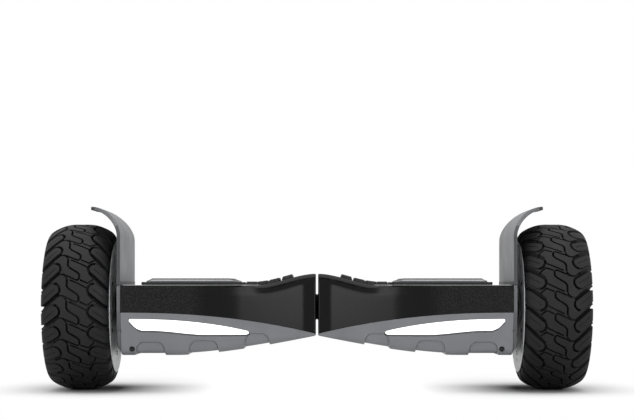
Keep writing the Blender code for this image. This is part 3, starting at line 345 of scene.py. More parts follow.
def cut_away(piece, cutter, operation="DIFFERENCE", overlapping=False):
    """Takes a cutter's shape out of a piece, or joins it on, and removes the cutter."""
    apply(piece, "BOOLEAN", operation=operation, object=cutter, use_self=overlapping)
    bpy.data.objects.remove(cutter, do_unlink=True)


def bisect(place, normal, **values):
    """Cuts all of the piece that is in edit mode along a plane."""
    bpy.ops.mesh.select_all(action="SELECT")
    bpy.ops.mesh.bisect(plane_co=place, plane_no=normal, threshold=weld, **values)


deselect()
bpy.ops.mesh.primitive_cube_add(size=1, location=(0, pitch * 1.5, -carcass / 2))
tyre = bpy.context.object
tyre.name = "tread_tyre_left"
tyre.scale = (2 * half_run, pitch * 3, carcass)
bpy.ops.object.transform_apply(location=True, rotation=False, scale=True)
cut_away(tyre, tread_cutter(), overlapping=True)
edit_all(tyre)
bisect((0, pitch, 0), (0, 1, 0), clear_inner=True)
bisect((0, 2 * pitch, 0), (0, 1, 0), clear_outer=True)
bends_per_pitch = 5
for step in range(1, bends_per_pitch):
    bisect((0, pitch * (1 + step / bends_per_pitch), 0), (0, 1, 0))
# Rows across the tread, which are closer on the sidewalls, where the section bends most
row_step = 0.0045
shoulder = 0.0335
sidewall_step = 0.0022
tread_rows = [row * row_step for row in range(-7, 8)]
tread_rows += [side * (shoulder + row * sidewall_step) for side in (-1, 1) for row in range(17)]
for row in tread_rows:
    if abs(row) < half_run - mm:
        bisect((row, 0, 0), (1, 0, 0))
bpy.ops.object.mode_set(mode="OBJECT")
for vertex in tyre.data.vertices:
    u, s, h = vertex.co
    spot, out = on_section(u)
    across, radius = spot + out * h
    angle = (s - pitch * 1.5) / tread_radius
    vertex.co = left_wheel + Vector((across, -radius * math.cos(angle), radius * math.sin(angle)))
edit_all(tyre)
bpy.ops.mesh.spin(steps=tread_pitches - 1, dupli=True, angle=2 * math.pi * (1 - 1 / tread_pitches),
                  center=left_wheel, axis=(1, 0, 0))
bpy.ops.mesh.select_all(action="SELECT")
bpy.ops.mesh.remove_doubles(threshold=0.00003)
bpy.ops.mesh.normals_make_consistent(inside=False)
smooth(tyre, 28)


# Three effects that most finishes share: the grain of a surface, edges rubbed bare, and dust on top.
def group_of(name, inputs, outputs):
    """A new shader node group whose sockets are all plain numbers."""
    group = bpy.data.node_groups.new(name, "ShaderNodeTree")
    for label, value in inputs:
        socket = group.interface.new_socket(name=label, in_out="INPUT", socket_type="NodeSocketFloat")
        socket.default_value = value
    for label in outputs:
        group.interface.new_socket(name=label, in_out="OUTPUT", socket_type="NodeSocketFloat")
    given = group.nodes.new("NodeGroupInput").outputs
    return group, given, group.nodes.new("NodeGroupOutput").inputs


def noise(tree, place, scale, detail):
    node = tree.nodes.new("ShaderNodeTexNoise")
    node.inputs["Detail"].default_value = detail
    tree.links.new(place, node.inputs["Vector"])
    if isinstance(scale, (int, float)):
        node.inputs["Scale"].default_value = scale
    else:
        tree.links.new(scale, node.inputs["Scale"])
    return node.outputs["Fac"]


# Grain: Size is a grain in millimetres, and Height is how much less often it repeats up the surface.
cloud_scale = 26.0
grain, given, gives = group_of("surface_grain", (("Size", 1.0), ("Height", 1.0)), ("Fine", "Cloud"))
place = object_place(grain)
stretch = grain.nodes.new("ShaderNodeCombineXYZ")
stretch.inputs["X"].default_value = 1.0
stretch.inputs["Y"].default_value = 1.0
grain.links.new(given["Height"], stretch.inputs["Z"])
drawn = grain.nodes.new("ShaderNodeVectorMath")
drawn.operation = "MULTIPLY"
grain.links.new(place, drawn.inputs[0])
grain.links.new(stretch.outputs["Vector"], drawn.inputs[1])
grains_per_metre = calculation(grain, "DIVIDE", 1000.0, given["Size"])
grain.links.new(noise(grain, drawn.outputs["Vector"], grains_per_metre, 3.0), gives["Fine"])
grain.links.new(spread(grain, noise(grain, place, cloud_scale, 4.0), 0.3, 0.7), gives["Cloud"])

# Edge wear: where a surface turns within Radius metres, broken up by noise.
wear_scale = 90.0
edge_wear, given, gives = group_of("edge_wear", (("Radius", 0.0008), ("Share", 0.5)), ("Mask",))
rounded_off = edge_wear.nodes.new("ShaderNodeBevel")
rounded_off.samples = 4
edge_wear.links.new(given["Radius"], rounded_off.inputs["Radius"])
surface = edge_wear.nodes.new("ShaderNodeNewGeometry")
likeness = edge_wear.nodes.new("ShaderNodeVectorMath")
likeness.operation = "DOT_PRODUCT"
edge_wear.links.new(rounded_off.outputs["Normal"], likeness.inputs[0])
edge_wear.links.new(surface.outputs["Normal"], likeness.inputs[1])
turning = spread(edge_wear, likeness.outputs["Value"], 0.995, 0.85)
patches = spread(edge_wear, noise(edge_wear, object_place(edge_wear), wear_scale, 5.0), 0.42, 0.66)
rubbed = calculation(edge_wear, "MULTIPLY", turning, patches)
edge_wear.links.new(calculation(edge_wear, "MULTIPLY", rubbed, given["Share"]), gives["Mask"])

# Dust: lies on faces that look up, in soft patches.
dust_scale = 38.0
dust_colour = (0.30, 0.28, 0.25, 1)
dust, given, gives = group_of("dust", (("Share", 0.3),), ("Mask",))
surface = dust.nodes.new("ShaderNodeNewGeometry")
upward = spread(dust, axes_of(dust, surface.outputs["Normal"])["Z"], 0.35, 1.0)
patches = spread(dust, noise(dust, object_place(dust), dust_scale, 6.0), 0.38, 0.74)
settled = calculation(dust, "MULTIPLY", upward, patches)
dust.links.new(calculation(dust, "MULTIPLY", settled, given["Share"]), gives["Mask"])


def placed_group(tree, group, **values):
    node = tree.nodes.new("ShaderNodeGroup")
    node.node_tree = group
    for label, value in values.items():
        node.inputs[label].default_value = value
    return node.outputs


def blended(tree, mask, below, above):
    """Two colours mixed by a mask. Each is a colour or the socket that gives one."""
    node = tree.nodes.new("ShaderNodeMix")
    node.data_type = "RGBA"
    tree.links.new(mask, node.inputs["Factor"])
    for socket, colour in ((node.inputs[6], below), (node.inputs[7], above)):
        if isinstance(colour, tuple):
            socket.default_value = colour
        else:
            tree.links.new(colour, socket)
    return node.outputs[2]


def finish(name, colour, roughness, metallic=0.0, size=0.8, height=1.0, relief=0.02, cloud=0.12,
           uneven=0.06, bare=None, rubbed=0.5, dusty=0.0, soft_edge=0.0, gloss=0.5):
    """A finish with its grain in millimetres, its clouds of colour, its bare edges and its dust."""
    made = bpy.data.materials.new(name)
    made.use_nodes = True
    tree = made.node_tree
    shader = tree.nodes["Principled BSDF"]
    grains = placed_group(tree, grain, Size=size, Height=height)
    darker = tuple(channel * (1 - cloud) for channel in colour) + (1,)
    lighter = tuple(channel * (1 + cloud) for channel in colour) + (1,)
    painted = blended(tree, grains["Cloud"], darker, lighter)
    if bare:
        wear = placed_group(tree, edge_wear, Share=rubbed)
        painted = blended(tree, wear["Mask"], painted, (*bare, 1))
    if dusty:
        painted = blended(tree, placed_group(tree, dust, Share=dusty)["Mask"], painted, dust_colour)
    tree.links.new(painted, shader.inputs["Base Color"])
    rough = spread(tree, grains["Cloud"], 0.0, 1.0, roughness - uneven, roughness + uneven)
    tree.links.new(rough, shader.inputs["Roughness"])
    shader.inputs["Metallic"].default_value = metallic
    shader.inputs["Specular IOR Level"].default_value = gloss
    bump = tree.nodes.new("ShaderNodeBump")
    bump.inputs["Distance"].default_value = relief * mm
    tree.links.new(grains["Fine"], bump.inputs["Height"])
    if soft_edge:
        eased = tree.nodes.new("ShaderNodeBevel")
        eased.samples = 4
        eased.inputs["Radius"].default_value = soft_edge * mm
        tree.links.new(eased.outputs["Normal"], bump.inputs["Normal"])
    tree.links.new(bump.outputs["Normal"], shader.inputs["Normal"])
    return made


def fit(piece, material, body, slot, *replaced):
    """Gives a finished piece its material, the body it rides on and the CAD nodes it stands for."""
    piece.data.materials.clear()
    piece.data.materials.append(material)
    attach(piece, body)
    if replaced:
        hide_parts(*replaced)


def copied(piece, name, change):
    """A copy of a piece with its own mesh, changed by a matrix."""
    made = piece.copy()
    made.data = piece.data.copy()
    made.name = name
    made.data.transform(change)
    bpy.context.scene.collection.objects.link(made)
    return made


def mirrored(piece, name):
    """The same piece mirrored for the other half of the board."""
    made = copied(piece, name, Matrix.Scale(-1, 4, (1, 0, 0)))
    made.data.flip_normals()
    return made


def turned_round(piece, name):
    """The same piece turned half round the board's upright axis, as the second wheel is."""
    return copied(piece, name, Matrix.Rotation(math.pi, 4, "Z"))


def fit_pair(piece, other_one, material, body, slot, node=None):
    """Fits a piece and the other one of its pair. Body and node are named without their side."""
    first, second = ("left", "right") if piece.name.endswith("left") else ("right", "left")
    other = other_one(piece, piece.name[:-len(first)] + second)
    for made, side in ((piece, first), (other, second)):
        fit(made, material, f"{side}_{body}", slot, *([f"{node}_{side}"] if node else []))
    return piece, other


tyre_rubber = finish("tyre_rubber", (0.0085, 0.0085, 0.0090), 0.68, size=0.5, relief=0.05, cloud=0.3,
                     uneven=0.1, bare=(0.045, 0.045, 0.046), rubbed=0.5, gloss=0.22)
fit_pair(tyre, turned_round, tyre_rubber, "wheel", "tyre_rubber", "tyre")


# Rims. Each is an aluminium casting that is also the outer half of the hub motor's housing. The tyre sits
# on its barrel. Its outer face has a rolled lip, six shallow pockets and six bolts, and is painted.
wheel_steps = 96
rim_front = 0.03445
rim_back = -0.03905
barrel = 0.0691
lip_width = 0.0030
lip_height = 0.0010
rim_web = rim_front - 0.0045
cap_seat = 0.0205
boss = 0.0210
race = 0.0164
bearing_stop = 0.02175
bearing_seat = 0.03175
drive_depth = 0.0006
hexagon_share = 0.46
origin = Vector((0, 0, 0))


def loop_of(name, points, fill="NOTHING"):
    """A closed loop of points as a new piece, opened in edit mode."""
    deselect()
    bpy.ops.mesh.primitive_circle_add(vertices=len(points), radius=0.01, fill_type=fill, location=origin)
    made = bpy.context.object
    made.name = name
    for vertex, point in zip(made.data.vertices, points):
        vertex.co = point
    edit_all(made)
    return made


def close_up():
    """Turns all faces of the piece that is in edit mode outwards, and closes it."""
    bpy.ops.mesh.select_all(action="SELECT")
    bpy.ops.mesh.normals_make_consistent(inside=False)
    bpy.ops.object.mode_set(mode="OBJECT")


def spun(name, profile, centre=origin):
    """A closed profile of (place along X, radius) turned about X through a centre."""
    made = loop_of(name, [(along, 0, radius) for along, radius in profile])
    bpy.ops.mesh.spin(steps=wheel_steps, angle=2 * math.pi, center=(0, 0, 0), axis=(1, 0, 0))
    bpy.ops.mesh.select_all(action="SELECT")
    bpy.ops.mesh.remove_doubles(threshold=0.00001)
    bpy.ops.mesh.delete_loose(use_faces=False)
    close_up()
    made.data.transform(Matrix.Translation(centre))
    return made


def plate(name, outline, depth):
    """A plate between an outline of places in space and the same outline moved by depth."""
    made = loop_of(name, outline, "NGON")
    bpy.ops.mesh.extrude_region_move(TRANSFORM_OT_translate={"value": depth})
    close_up()
    return made


def soften(piece, width, segments=2, angle=30, shading=35):
    """Rounds a piece's sharp edges and shades what lies between them smooth."""
    apply(piece, "BEVEL", width=width, segments=segments, limit_method="ANGLE",
          angle_limit=math.radians(angle), use_clamp_overlap=False)
    smooth(piece, shading)


def rounded(points, radii, steps=5):
    """An outline of (across, up) with each corner cut back by its radius and replaced by a curve."""
    line = []
    for i, (point, radius) in enumerate(zip(points, radii)):
        corner = Vector(point)
        before = Vector(points[i - 1])
        after = Vector(points[(i + 1) % len(points)])
        if radius == 0:
            line.append(corner)
            continue
        start = corner + (before - corner).normalized() * min(radius, (before - corner).length * 0.49)
        end = corner + (after - corner).normalized() * min(radius, (after - corner).length * 0.49)
        line += curve(start, corner, end, steps)
    return line


def curve(start, bend, end, steps):
    """Points from start to end on a curve that leaves both towards the bend."""
    shares = [step / steps for step in range(steps + 1)]
    return [start * (1 - share) ** 2 + bend * 2 * share * (1 - share) + end * share ** 2 for share in shares]


def joined(pieces, name):
    """Several pieces made one mesh."""
    deselect()
    for piece in pieces:
        piece.select_set(True)
    bpy.context.view_layer.objects.active = pieces[0]
    bpy.ops.object.join()
    pieces[0].name = name
    return pieces[0]


def round_about(piece, count, centre):
    """Copies of a piece turned evenly about X through a centre, made one mesh with it."""
    pieces = [piece]
    for number in range(1, count):
        turn = Matrix.Rotation(2 * math.pi * number / count, 4, "X")
        around = Matrix.Translation(centre) @ turn @ Matrix.Translation(-centre)
        pieces.append(copied(piece, piece.name, around))
    return joined(pieces, piece.name)


def bolt(name, place, radius, height, out, slot_width=0.0):
    """A round screw head that stands on a place and faces out along X, with a hexagon or a slot in it."""
    domed = ((0, 0.0), (0, radius), (height * 0.45, radius), (height * 0.85, radius * 0.86),
             (height, radius * 0.62), (height, 0.0))
    head = spun(name, [(out * along, across) for along, across in domed], Vector(place))
    middle = Vector(place) + Vector((out * (height - drive_depth), 0, 0))
    if slot_width:
        half, reach = slot_width / 2, radius * 1.2
        corners = [(-reach, -half), (reach, -half), (reach, half), (-reach, half)]
    else:
        reach = radius * hexagon_share
        turns = [i * math.pi / 3 for i in range(6)]
        corners = [(reach * math.cos(turn), reach * math.sin(turn)) for turn in turns]
    drive = [middle + Vector((0, across, up)) for across, up in corners]
    cut_away(head, plate("drive", drive, (out * 0.004, 0, 0)))
    smooth(head, 35)
    return head


rim = spun("cast_rim_right", [
    (rim_front, barrel - 0.0008), (rim_front - 0.0008, barrel), (rim_front - 0.0065, barrel),
    (rim_front - 0.0080, barrel - 0.0012), (0.006, barrel - 0.0012), (0.004, barrel),
    (rim_back + 0.0006, barrel), (rim_back, barrel - 0.0006), (rim_back, barrel - 0.0060),
    (rim_web, barrel - 0.0060), (rim_web, boss), (bearing_stop, boss), (bearing_stop, race),
    (bearing_seat, race), (bearing_seat, 0), (rim_front, 0), (rim_front, cap_seat - 0.0006),
    (rim_front - 0.0006, cap_seat), (rim_front - lip_height, cap_seat + 0.0008),
    (rim_front - lip_height, barrel - lip_width - 0.0012), (rim_front, barrel - lip_width)], right_wheel)
pocket_floor = rim_front - lip_height - 0.0018
pocket_sides = ((0.0260, 0.0070), (0.0550, 0.0150), (0.0600, 0.0100))
pocket_line = [(across, up) for up, across in pocket_sides]
pocket_line += [(-across, up) for across, up in pocket_line[::-1]]
pocket_line = rounded(pocket_line, [0.0030, 0.0045, 0.0035, 0.0035, 0.0045, 0.0030])
pocket_line = [right_wheel + Vector((pocket_floor, across, up)) for across, up in pocket_line]
cut_away(rim, round_about(plate("pocket", pocket_line, (0.02, 0, 0)), 6, right_wheel))
soften(rim, 0.0004, angle=34)
bolt_circle = 0.0445
bolt_turn = Matrix.Rotation(math.radians(30), 4, "X")
bolt_place = right_wheel + bolt_turn @ Vector((rim_front - lip_height - 0.0002, 0, bolt_circle))
rim_bolts = round_about(bolt("rim_bolts_right", bolt_place, 0.0031, 0.0011, 1), 6, right_wheel)

wheel_paint = finish("wheel_paint", (0.055, 0.056, 0.058), 0.42, metallic=0.55, size=0.35, relief=0.02,
                     cloud=0.10, bare=(0.42, 0.42, 0.43), rubbed=0.55)
steel = finish("steel", (0.34, 0.34, 0.345), 0.32, metallic=1.0, size=0.3, relief=0.006, cloud=0.12)
fit_pair(rim, turned_round, wheel_paint, "wheel", "wheel_alloy", "rim")
fit_pair(rim_bolts, turned_round, steel, "wheel", "steel")

# Hub caps. Each is a pressed plastic cap over the outer bearing, with a shallow dish in its face.
cap_radius = 0.0180
cap_height = 0.0034
cap_foot = rim_front + 0.0003
cap_top = cap_foot + cap_height
hub_cap = spun("pressed_hub_cap_right", [
    (cap_foot, 0), (cap_foot, cap_radius), (cap_top - 0.0014, cap_radius),
    (cap_top - 0.0004, cap_radius - 0.0005), (cap_top, cap_radius - 0.0014), (cap_top, 0.0118),
    (cap_top - 0.0005, 0.0108), (cap_top - 0.0007, 0)], right_wheel)
soften(hub_cap, 0.0003, angle=25)
cap_plastic = finish("cap_plastic", (0.014, 0.014, 0.015), 0.38, size=0.4, relief=0.012, cloud=0.2,
                     bare=(0.05, 0.05, 0.05), rubbed=0.4)
fit_pair(hub_cap, turned_round, cap_plastic, "wheel", "hub_cap", "hub_cap")

# Motor covers. Each is the turned aluminium disc that closes the motor beside the footboard, with a thin
# flange over the tyre's bead. Six slotted screws hold it to the rim, and it carries the inner bearing.
cover_face = -0.04415
cover_back = cover_face + 0.0048
cover_radius = 0.0688
flange_back = cover_face + 0.0011
flange_radius = 0.0858
cover_line = cover_face + 0.0003
cover_dish = cover_face + 0.0006
cover_seat = cover_face + 0.0022
cover_bore = 0.0120
cover_stop = cover_seat + 0.0100
motor_cover = spun("turned_cover_right", [
    (cover_back, cover_radius), (flange_back, cover_radius), (flange_back, flange_radius - 0.0004),
    (flange_back - 0.0004, flange_radius), (cover_line, flange_radius), (cover_face, flange_radius - 0.0005),
    (cover_face, 0.0700), (cover_line, 0.0697), (cover_line, 0.0690), (cover_face, 0.0687),
    (cover_face, 0.0530), (cover_dish, 0.0524), (cover_dish, 0.0288), (cover_face, 0.0280),
    (cover_face, cover_bore + 0.0005), (cover_face + 0.0005, cover_bore), (cover_seat, cover_bore),
    (cover_seat, race), (cover_stop, race), (cover_stop, boss), (cover_back, boss)], right_wheel)
soften(motor_cover, 0.0003, angle=24)
cover_screw_circle = 0.0605
cover_screw_place = right_wheel + Vector((cover_face + 0.0001, 0, cover_screw_circle))
cover_screw = bolt("cover_screws_right", cover_screw_place, 0.0030, 0.0009, -1, slot_width=0.0011)
cover_screws = round_about(cover_screw, 6, right_wheel)
turned_alloy = finish("turned_alloy", (0.74, 0.745, 0.755), 0.45, metallic=0.20, size=0.5, relief=0.01,
                      cloud=0.08, bare=(0.6, 0.6, 0.6), rubbed=0.3)


def under_grain(material, height, depth):
    """Adds a coarser relief, a depth in metres high, under the grain of a finish."""
    tree = material.node_tree
    bump = tree.nodes.new("ShaderNodeBump")
    bump.inputs["Distance"].default_value = depth
    tree.links.new(height, bump.inputs["Height"])
    tree.links.new(bump.outputs["Normal"], tree.nodes["Bump"].inputs["Normal"])


# The lathe's rings follow the distance from the axle, which lies along X at the wheel's height.
ring_spacing = 0.000625
ring_depth = 0.000012
tree = turned_alloy.node_tree
from_axle = tree.nodes.new("ShaderNodeMapping")
from_axle.inputs["Location"].default_value = (0, 0, -right_wheel.z)
from_axle.inputs["Scale"].default_value = (0, 1, 1)
reach = tree.nodes.new("ShaderNodeVectorMath")
reach.operation = "LENGTH"
tree.links.new(object_place(tree), from_axle.inputs["Vector"])
tree.links.new(from_axle.outputs["Vector"], reach.inputs[0])
ring_turns = calculation(tree, "MULTIPLY", reach.outputs["Value"], 2 * math.pi / ring_spacing)
under_grain(turned_alloy, calculation(tree, "SINE", ring_turns), ring_depth)
dark_screw = finish("dark_screw", (0.030, 0.030, 0.031), 0.35, metallic=0.8, size=0.3, relief=0.01)
fit_pair(motor_cover, turned_round, turned_alloy, "wheel", "wheel_alloy", "motor_cover")
fit_pair(cover_screws, turned_round, dark_screw, "wheel", "steel")

# Axle seals. Each is a ribbed rubber collar that sits on the axle between the end plate and the motor.
seal_radius = 0.0215
seal_near = 0.2538
seal_far = 0.2623
seal_bore = 0.0088
rib_pitch = 0.0022
seal_line = [(seal_near, seal_bore), (seal_near, seal_radius)]
for rib in range(3):
    start = seal_near + 0.0010 + rib * rib_pitch
    seal_line += [(start, seal_radius), (start + 0.0004, seal_radius - 0.0007),
                  (start + 0.0009, seal_radius - 0.0007), (start + 0.0013, seal_radius)]
seal_line += [(seal_far - 0.0010, seal_radius - 0.0006), (seal_far, seal_radius - 0.0024),
              (seal_far, seal_bore)]
seal = spun("ribbed_seal_right", seal_line, Vector((0, 0, right_wheel.z)))
soften(seal, 0.0002, segments=1, angle=24)
seal_rubber = finish("seal_rubber", (0.006, 0.006, 0.0065), 0.6, size=0.6, relief=0.03, cloud=0.25, gloss=0.2)
fit_pair(seal, mirrored, seal_rubber, "half", "seal_rubber", "axle_seal")


# Lower shells. Each is one grey die casting with sloping flanks, a rounded belly and three arched flutes
# that stiffen it. Its outer end is closed by the end plate, and the upper shell is screwed to its rim.
lower_low, lower_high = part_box("lower_shell_right")
shell_inner = lower_low.x
shell_outer = lower_high.x
axle_height = right_wheel.z
deck_level = axle_height + 0.0285
belly_level = lower_low.z
inner_round = 0.0022
flank_slope = 0.28
seam_step = 0.0006
seam_gap = 0.0003
flute_centres = (0.2118, 0.1441, 0.0764)
flute_widths = (0.0345, 0.0350, 0.0290)
flute_height = 0.0165
flute_corner = 0.0090
flute_flare = 0.0016
flute_depth = 0.0025
flute_edge = 0.0013
fine_rows = 0.0110
belly_corner = 0.0080
room_start = 0.1067
room_half = 0.070
room_top = 0.12
floor_wall = 0.0105
neck_floor = 0.0045
neck_start = 0.034
neck_half = 0.030


def clamped(value, low=0.0, high=1.0):
    return min(max(value, low), high)


def ease(value):
    """Runs smoothly from 0 to 1 as value does."""
    value = clamped(value)
    return value * value * (3 - 2 * value)


# The footboard is deepest over the foot. A straight flank leads in to the waist at the pivot, with a
# bend at each end of it, which starts and stops at these places.
foot_half = 0.094
waist_half = 0.064
waist_bends = (0.011, 0.019, 0.096, 0.155)
hump_height = 0.0148
hump_end = 0.080
seam_level = axle_height - 0.0060
seam_dip = 0.0280
belly_rise = 0.0247
belly_flat = 0.175
closest_rings = 0.00015


def half_depth(x):
    """Half the footboard's depth at x."""
    start, straight, slowing, end = waist_bends
    x = clamped(x, start, end)
    into = min(x, straight) - start
    late = max(x - slowing, 0.0)
    run = into ** 2 / (2 * (straight - start)) + max(min(x, slowing) - straight, 0.0)
    run += late - late ** 2 / (2 * (end - slowing))
    return waist_half + (foot_half - waist_half) * run / ((slowing + end - start - straight) / 2)


def deck(x):
    return deck_level + hump_height * ease(1 - x / hump_end)


def seam(x):
    """Height of the line between the two shells, which dips to the pivot."""
    return seam_level - seam_dip * max(1 - x / shell_outer, 0.0) ** 2.3


def belly(x):
    return belly_level + belly_rise * max(1 - x / belly_flat, 0.0) ** 1.5


def end_round(x):
    """How far a shell draws in where its edge beside the pivot is rounded."""
    left = 1 - clamped((x - shell_inner) / inner_round)
    return inner_round * (1 - math.sqrt(1 - left * left))


def stations(step, *dense):
    """Places of a shell's rings along X: an even step, and closer where a form needs it."""
    spots = [shell_inner + inner_round * share for share in (0.0, 0.08, 0.2, 0.4, 0.7)]
    count = round((shell_outer - shell_inner) / step)
    spots += [shell_inner + inner_round + (shell_outer - shell_inner - inner_round) * i / count
              for i in range(count + 1)]
    for low, high, close in dense:
        spots += [low + close * i for i in range(int((high - low) / close) + 1)]
    spots.sort()
    kept = [spots[0]]
    for spot in spots[1:]:
        if spot - kept[-1] > closest_rings:
            kept.append(spot)
    return kept


def flute_share(x, z):
    """How far a place lies inside a flute's arch, from 0 outside to 1 on its floor."""
    deepest = 0.0
    for centre, width in zip(flute_centres, flute_widths):
        climb = clamped((z - belly(centre)) / flute_height)
        half = width / 2 + flute_flare * (1 - climb) ** 2
        across = abs(x - centre) - (half - flute_corner)
        up = z - (belly(centre) + flute_height - flute_corner)
        outside = math.hypot(max(across, 0.0), max(up, 0.0)) + min(max(across, up), 0.0) - flute_corner
        deepest = max(deepest, ease(0.5 - outside / flute_edge))
    return deepest


def front_to_back(x, side):
    """A ring at x that runs along a side's (half depth, height) in front and back along it behind."""
    return [Vector((x, -y, z)) for y, z in side] + [Vector((x, y, z)) for y, z in side[-2::-1]]


def lower_ring(x):
    """The lower shell's section at x, from the front seam round to the back one."""
    drawn = end_round(x)
    depth = half_depth(x) - seam_step - drawn
    top = seam(x) - seam_gap
    low = belly(x) + drawn * 0.5
    height = top - low
    corner = min(belly_corner, 0.38 * height)
    foot = depth - flank_slope * (height - corner)
    # The flank's rows lie closer at its foot, where the flutes' arches bend.
    fine = min(fine_rows / max(height - corner, mm), 0.7)
    shares = [(1 - fine) * i / 9 for i in range(9)] + [1 - fine + fine * i / 15 for i in range(15)]
    side = [Vector((depth + (foot - depth) * share, top + (low + corner - top) * share))
            for share in shares]
    start = Vector((foot, low + corner))
    bend = Vector((foot - flank_slope * corner, low))
    end = Vector((foot - 1.1 * corner, low))
    side += curve(start, bend, end, 8)
    side += [Vector((end.x * (1 - i / 6), low)) for i in range(1, 7)]
    sunk = []
    for i, spot in enumerate(side):
        along = side[min(i + 1, len(side) - 1)] - side[max(i - 1, 0)]
        inward = Vector((along.y, -along.x)).normalized()
        sunk.append(spot + inward * flute_depth * flute_share(x, spot.y))
    return front_to_back(x, sunk)


def grid_of(name, columns, rows, place):
    """A sheet whose place(across, along) is given for shares from 0 to 1."""
    deselect()
    bpy.ops.mesh.primitive_grid_add(x_subdivisions=columns, y_subdivisions=rows, size=1, location=origin)
    made = bpy.context.object
    made.name = name
    for vertex in made.data.vertices:
        vertex.co = place(vertex.co.x + 0.5, vertex.co.y + 0.5)
    return made


def wrapped(name, spots, ring_at):
    """A solid through a ring of places at each spot, closed by a face at each end."""
    rings = [ring_at(spot) for spot in spots]
    columns, rows = len(rings) - 1, len(rings[0])

    def place(across, along):
        return rings[round(across * columns)][round(along * rows) % rows]
    made = grid_of(name, columns, rows, place)
    edit_all(made)
    bpy.ops.mesh.remove_doubles(threshold=2 * weld)
    bpy.ops.mesh.fill_holes(sides=0)
    close_up()
    return made


def block(low, high):
    """A plain cutter between two corners."""
    corners = ((low[0], low[1]), (high[0], low[1]), (high[0], high[1]), (low[0], high[1]))
    return plate("block", [(x, y, low[2]) for x, y in corners], (0, 0, high[2] - low[2]))


end_corner = (0.2535, 0, belly_level + 0.0110)
end_corner_facing = (0.0110, 0, -0.0060)


def take_end_corner(piece):
    """Cuts the slanted corner off the footboard's outer end, below."""
    edit_all(piece)
    bisect(end_corner, end_corner_facing, use_fill=True, clear_outer=True)
    bpy.ops.object.mode_set(mode="OBJECT")


# The rings lie closer over the upright edges of the flutes.
edge_start = 0.0028
edge_run = 0.0120
around_flutes = []
for centre, width in zip(flute_centres, flute_widths):
    low, high = centre - width / 2 - edge_start, centre + width / 2 + edge_start
    around_flutes += [(low, low + edge_run, 0.0007), (high - edge_run, high, 0.0007)]
lower_shell = wrapped("cast_lower_shell_right", stations(0.0028, *around_flutes), lower_ring)
cut_away(lower_shell, block((room_start, -room_half, belly_level + floor_wall), (0.28, room_half, room_top)))
cut_away(lower_shell, block((neck_start, -neck_half, belly(neck_start) + neck_floor),
                            (room_start + mm, neck_half, room_top)))
take_end_corner(lower_shell)

# Front view of the lens and its window: a long wedge, slanted at the wheel and rounded at its tip.
lens_tip = 0.0870
lens_end = 0.2380
lens_heel = 0.2298
lens_heel_start = 0.2209
lens_nose = 0.0034
lens_below_seam = 0.0071
lens_droop = 0.0058
lens_shoulder = 0.0020
shoulder_drop = 0.0011
lens_foot = axle_height - 0.0345
lens_lift = 0.0051
lift_end = 0.0270
lift_run = 0.0700
heel_step = 0.0034
heel_rise = 0.0085


def lens_top(x):
    share = (lens_end - x) / (lens_end - lens_tip)
    past = clamped((x - lens_end + lens_shoulder) / lens_shoulder)
    dropped = shoulder_drop * (1 - math.sqrt(1 - past * past))
    return seam(x) - lens_below_seam - lens_droop * share ** 3 - dropped


def lens_low(x):
    line = lens_foot + lens_lift * ease((x - lens_end + lift_end) / lift_run + 1)
    if x > lens_heel:
        return line + heel_step + heel_rise * ((x - lens_heel) / (lens_end - lens_heel)) ** 1.15
    return line + heel_step * max((x - lens_heel_start) / (lens_heel - lens_heel_start), 0.0) ** 1.5


def flank(x, z):
    """Half the depth of the lower shell's flank at a place in front view."""
    return half_depth(x) - seam_step - flank_slope * (seam(x) - seam_gap - z)


def sheet(name, columns, rows, place, outward):
    """An open sheet whose place(across, up) is given for shares from 0 to 1, facing outward."""
    made = grid_of(name, columns, rows, place)
    made.data.update()
    facing = sum((face.normal * face.area for face in made.data.polygons), Vector())
    if facing.dot(Vector(outward)) < 0:
        made.data.flip_normals()
    return made


def lens_sheet(name, side, grow, deep, nose):
    """The lens's outline as a sheet that follows the flank, a depth under its skin."""
    def place(across, up):
        share = (1 - math.cos(math.pi * across)) / 2
        x = lens_tip - grow + (lens_end - lens_tip + 2 * grow) * share
        inside = clamped(x, lens_tip, lens_end)
        high, low = lens_top(inside) + grow, lens_low(inside) - grow
        open_up = 1 - min((x - lens_tip + grow) / nose, 1.0)
        half = (high - low) / 2 * math.sqrt(max(1 - open_up * open_up, 0.0))
        z = (high + low) / 2 + half * (2 * up - 1)
        return Vector((x, side * (flank(x, z) - deep), z))
    made = sheet(name, 72, 10, place, (0, side, 0))
    edit_all(made)
    bpy.ops.mesh.remove_doubles(threshold=2 * weld)
    bpy.ops.object.mode_set(mode="OBJECT")
    return made


window_gap = 0.0005
window_depth = 0.0070
for side in (-1, 1):
    window = lens_sheet("window", side, window_gap, window_depth, lens_nose + window_gap)
    apply(window, "SOLIDIFY", thickness=0.02, offset=1)
    cut_away(lower_shell, window)
# Four screws go up into the belly and one into each flank near the wheel, all in round sinks. A short slot
# in the outer end of each flank takes the tool that pries the end plate off.
belly_spots = ((0.2300, 0.052), (0.2300, -0.052), (0.1120, 0.048), (0.1120, -0.048))
flank_screw = (0.2351, 0.0552)
flank_sink = 0.0748
pry_slot = ((0.2466, 0.0838, 0.0700), (0.2520, 0.1000, 0.0796))
down = Matrix.Rotation(math.radians(90), 4, "Y")
facing_back = Matrix.Rotation(math.radians(90), 4, "Z")
facing_front = Matrix.Rotation(math.radians(-90), 4, "Z")


def stood(piece, spot, turn):
    """Turns a piece that was made about X at the origin and stands it on a spot."""
    piece.data.transform(Matrix.Translation(spot) @ turn)
    return piece


def sink_hole(piece, radius, near, far, spot, turn):
    """Cuts a round hole out of a piece, between two distances from a spot."""
    cutter = spun("hole", [(near, 0), (near, radius), (far, radius), (far, 0)])
    cut_away(piece, stood(cutter, spot, turn))


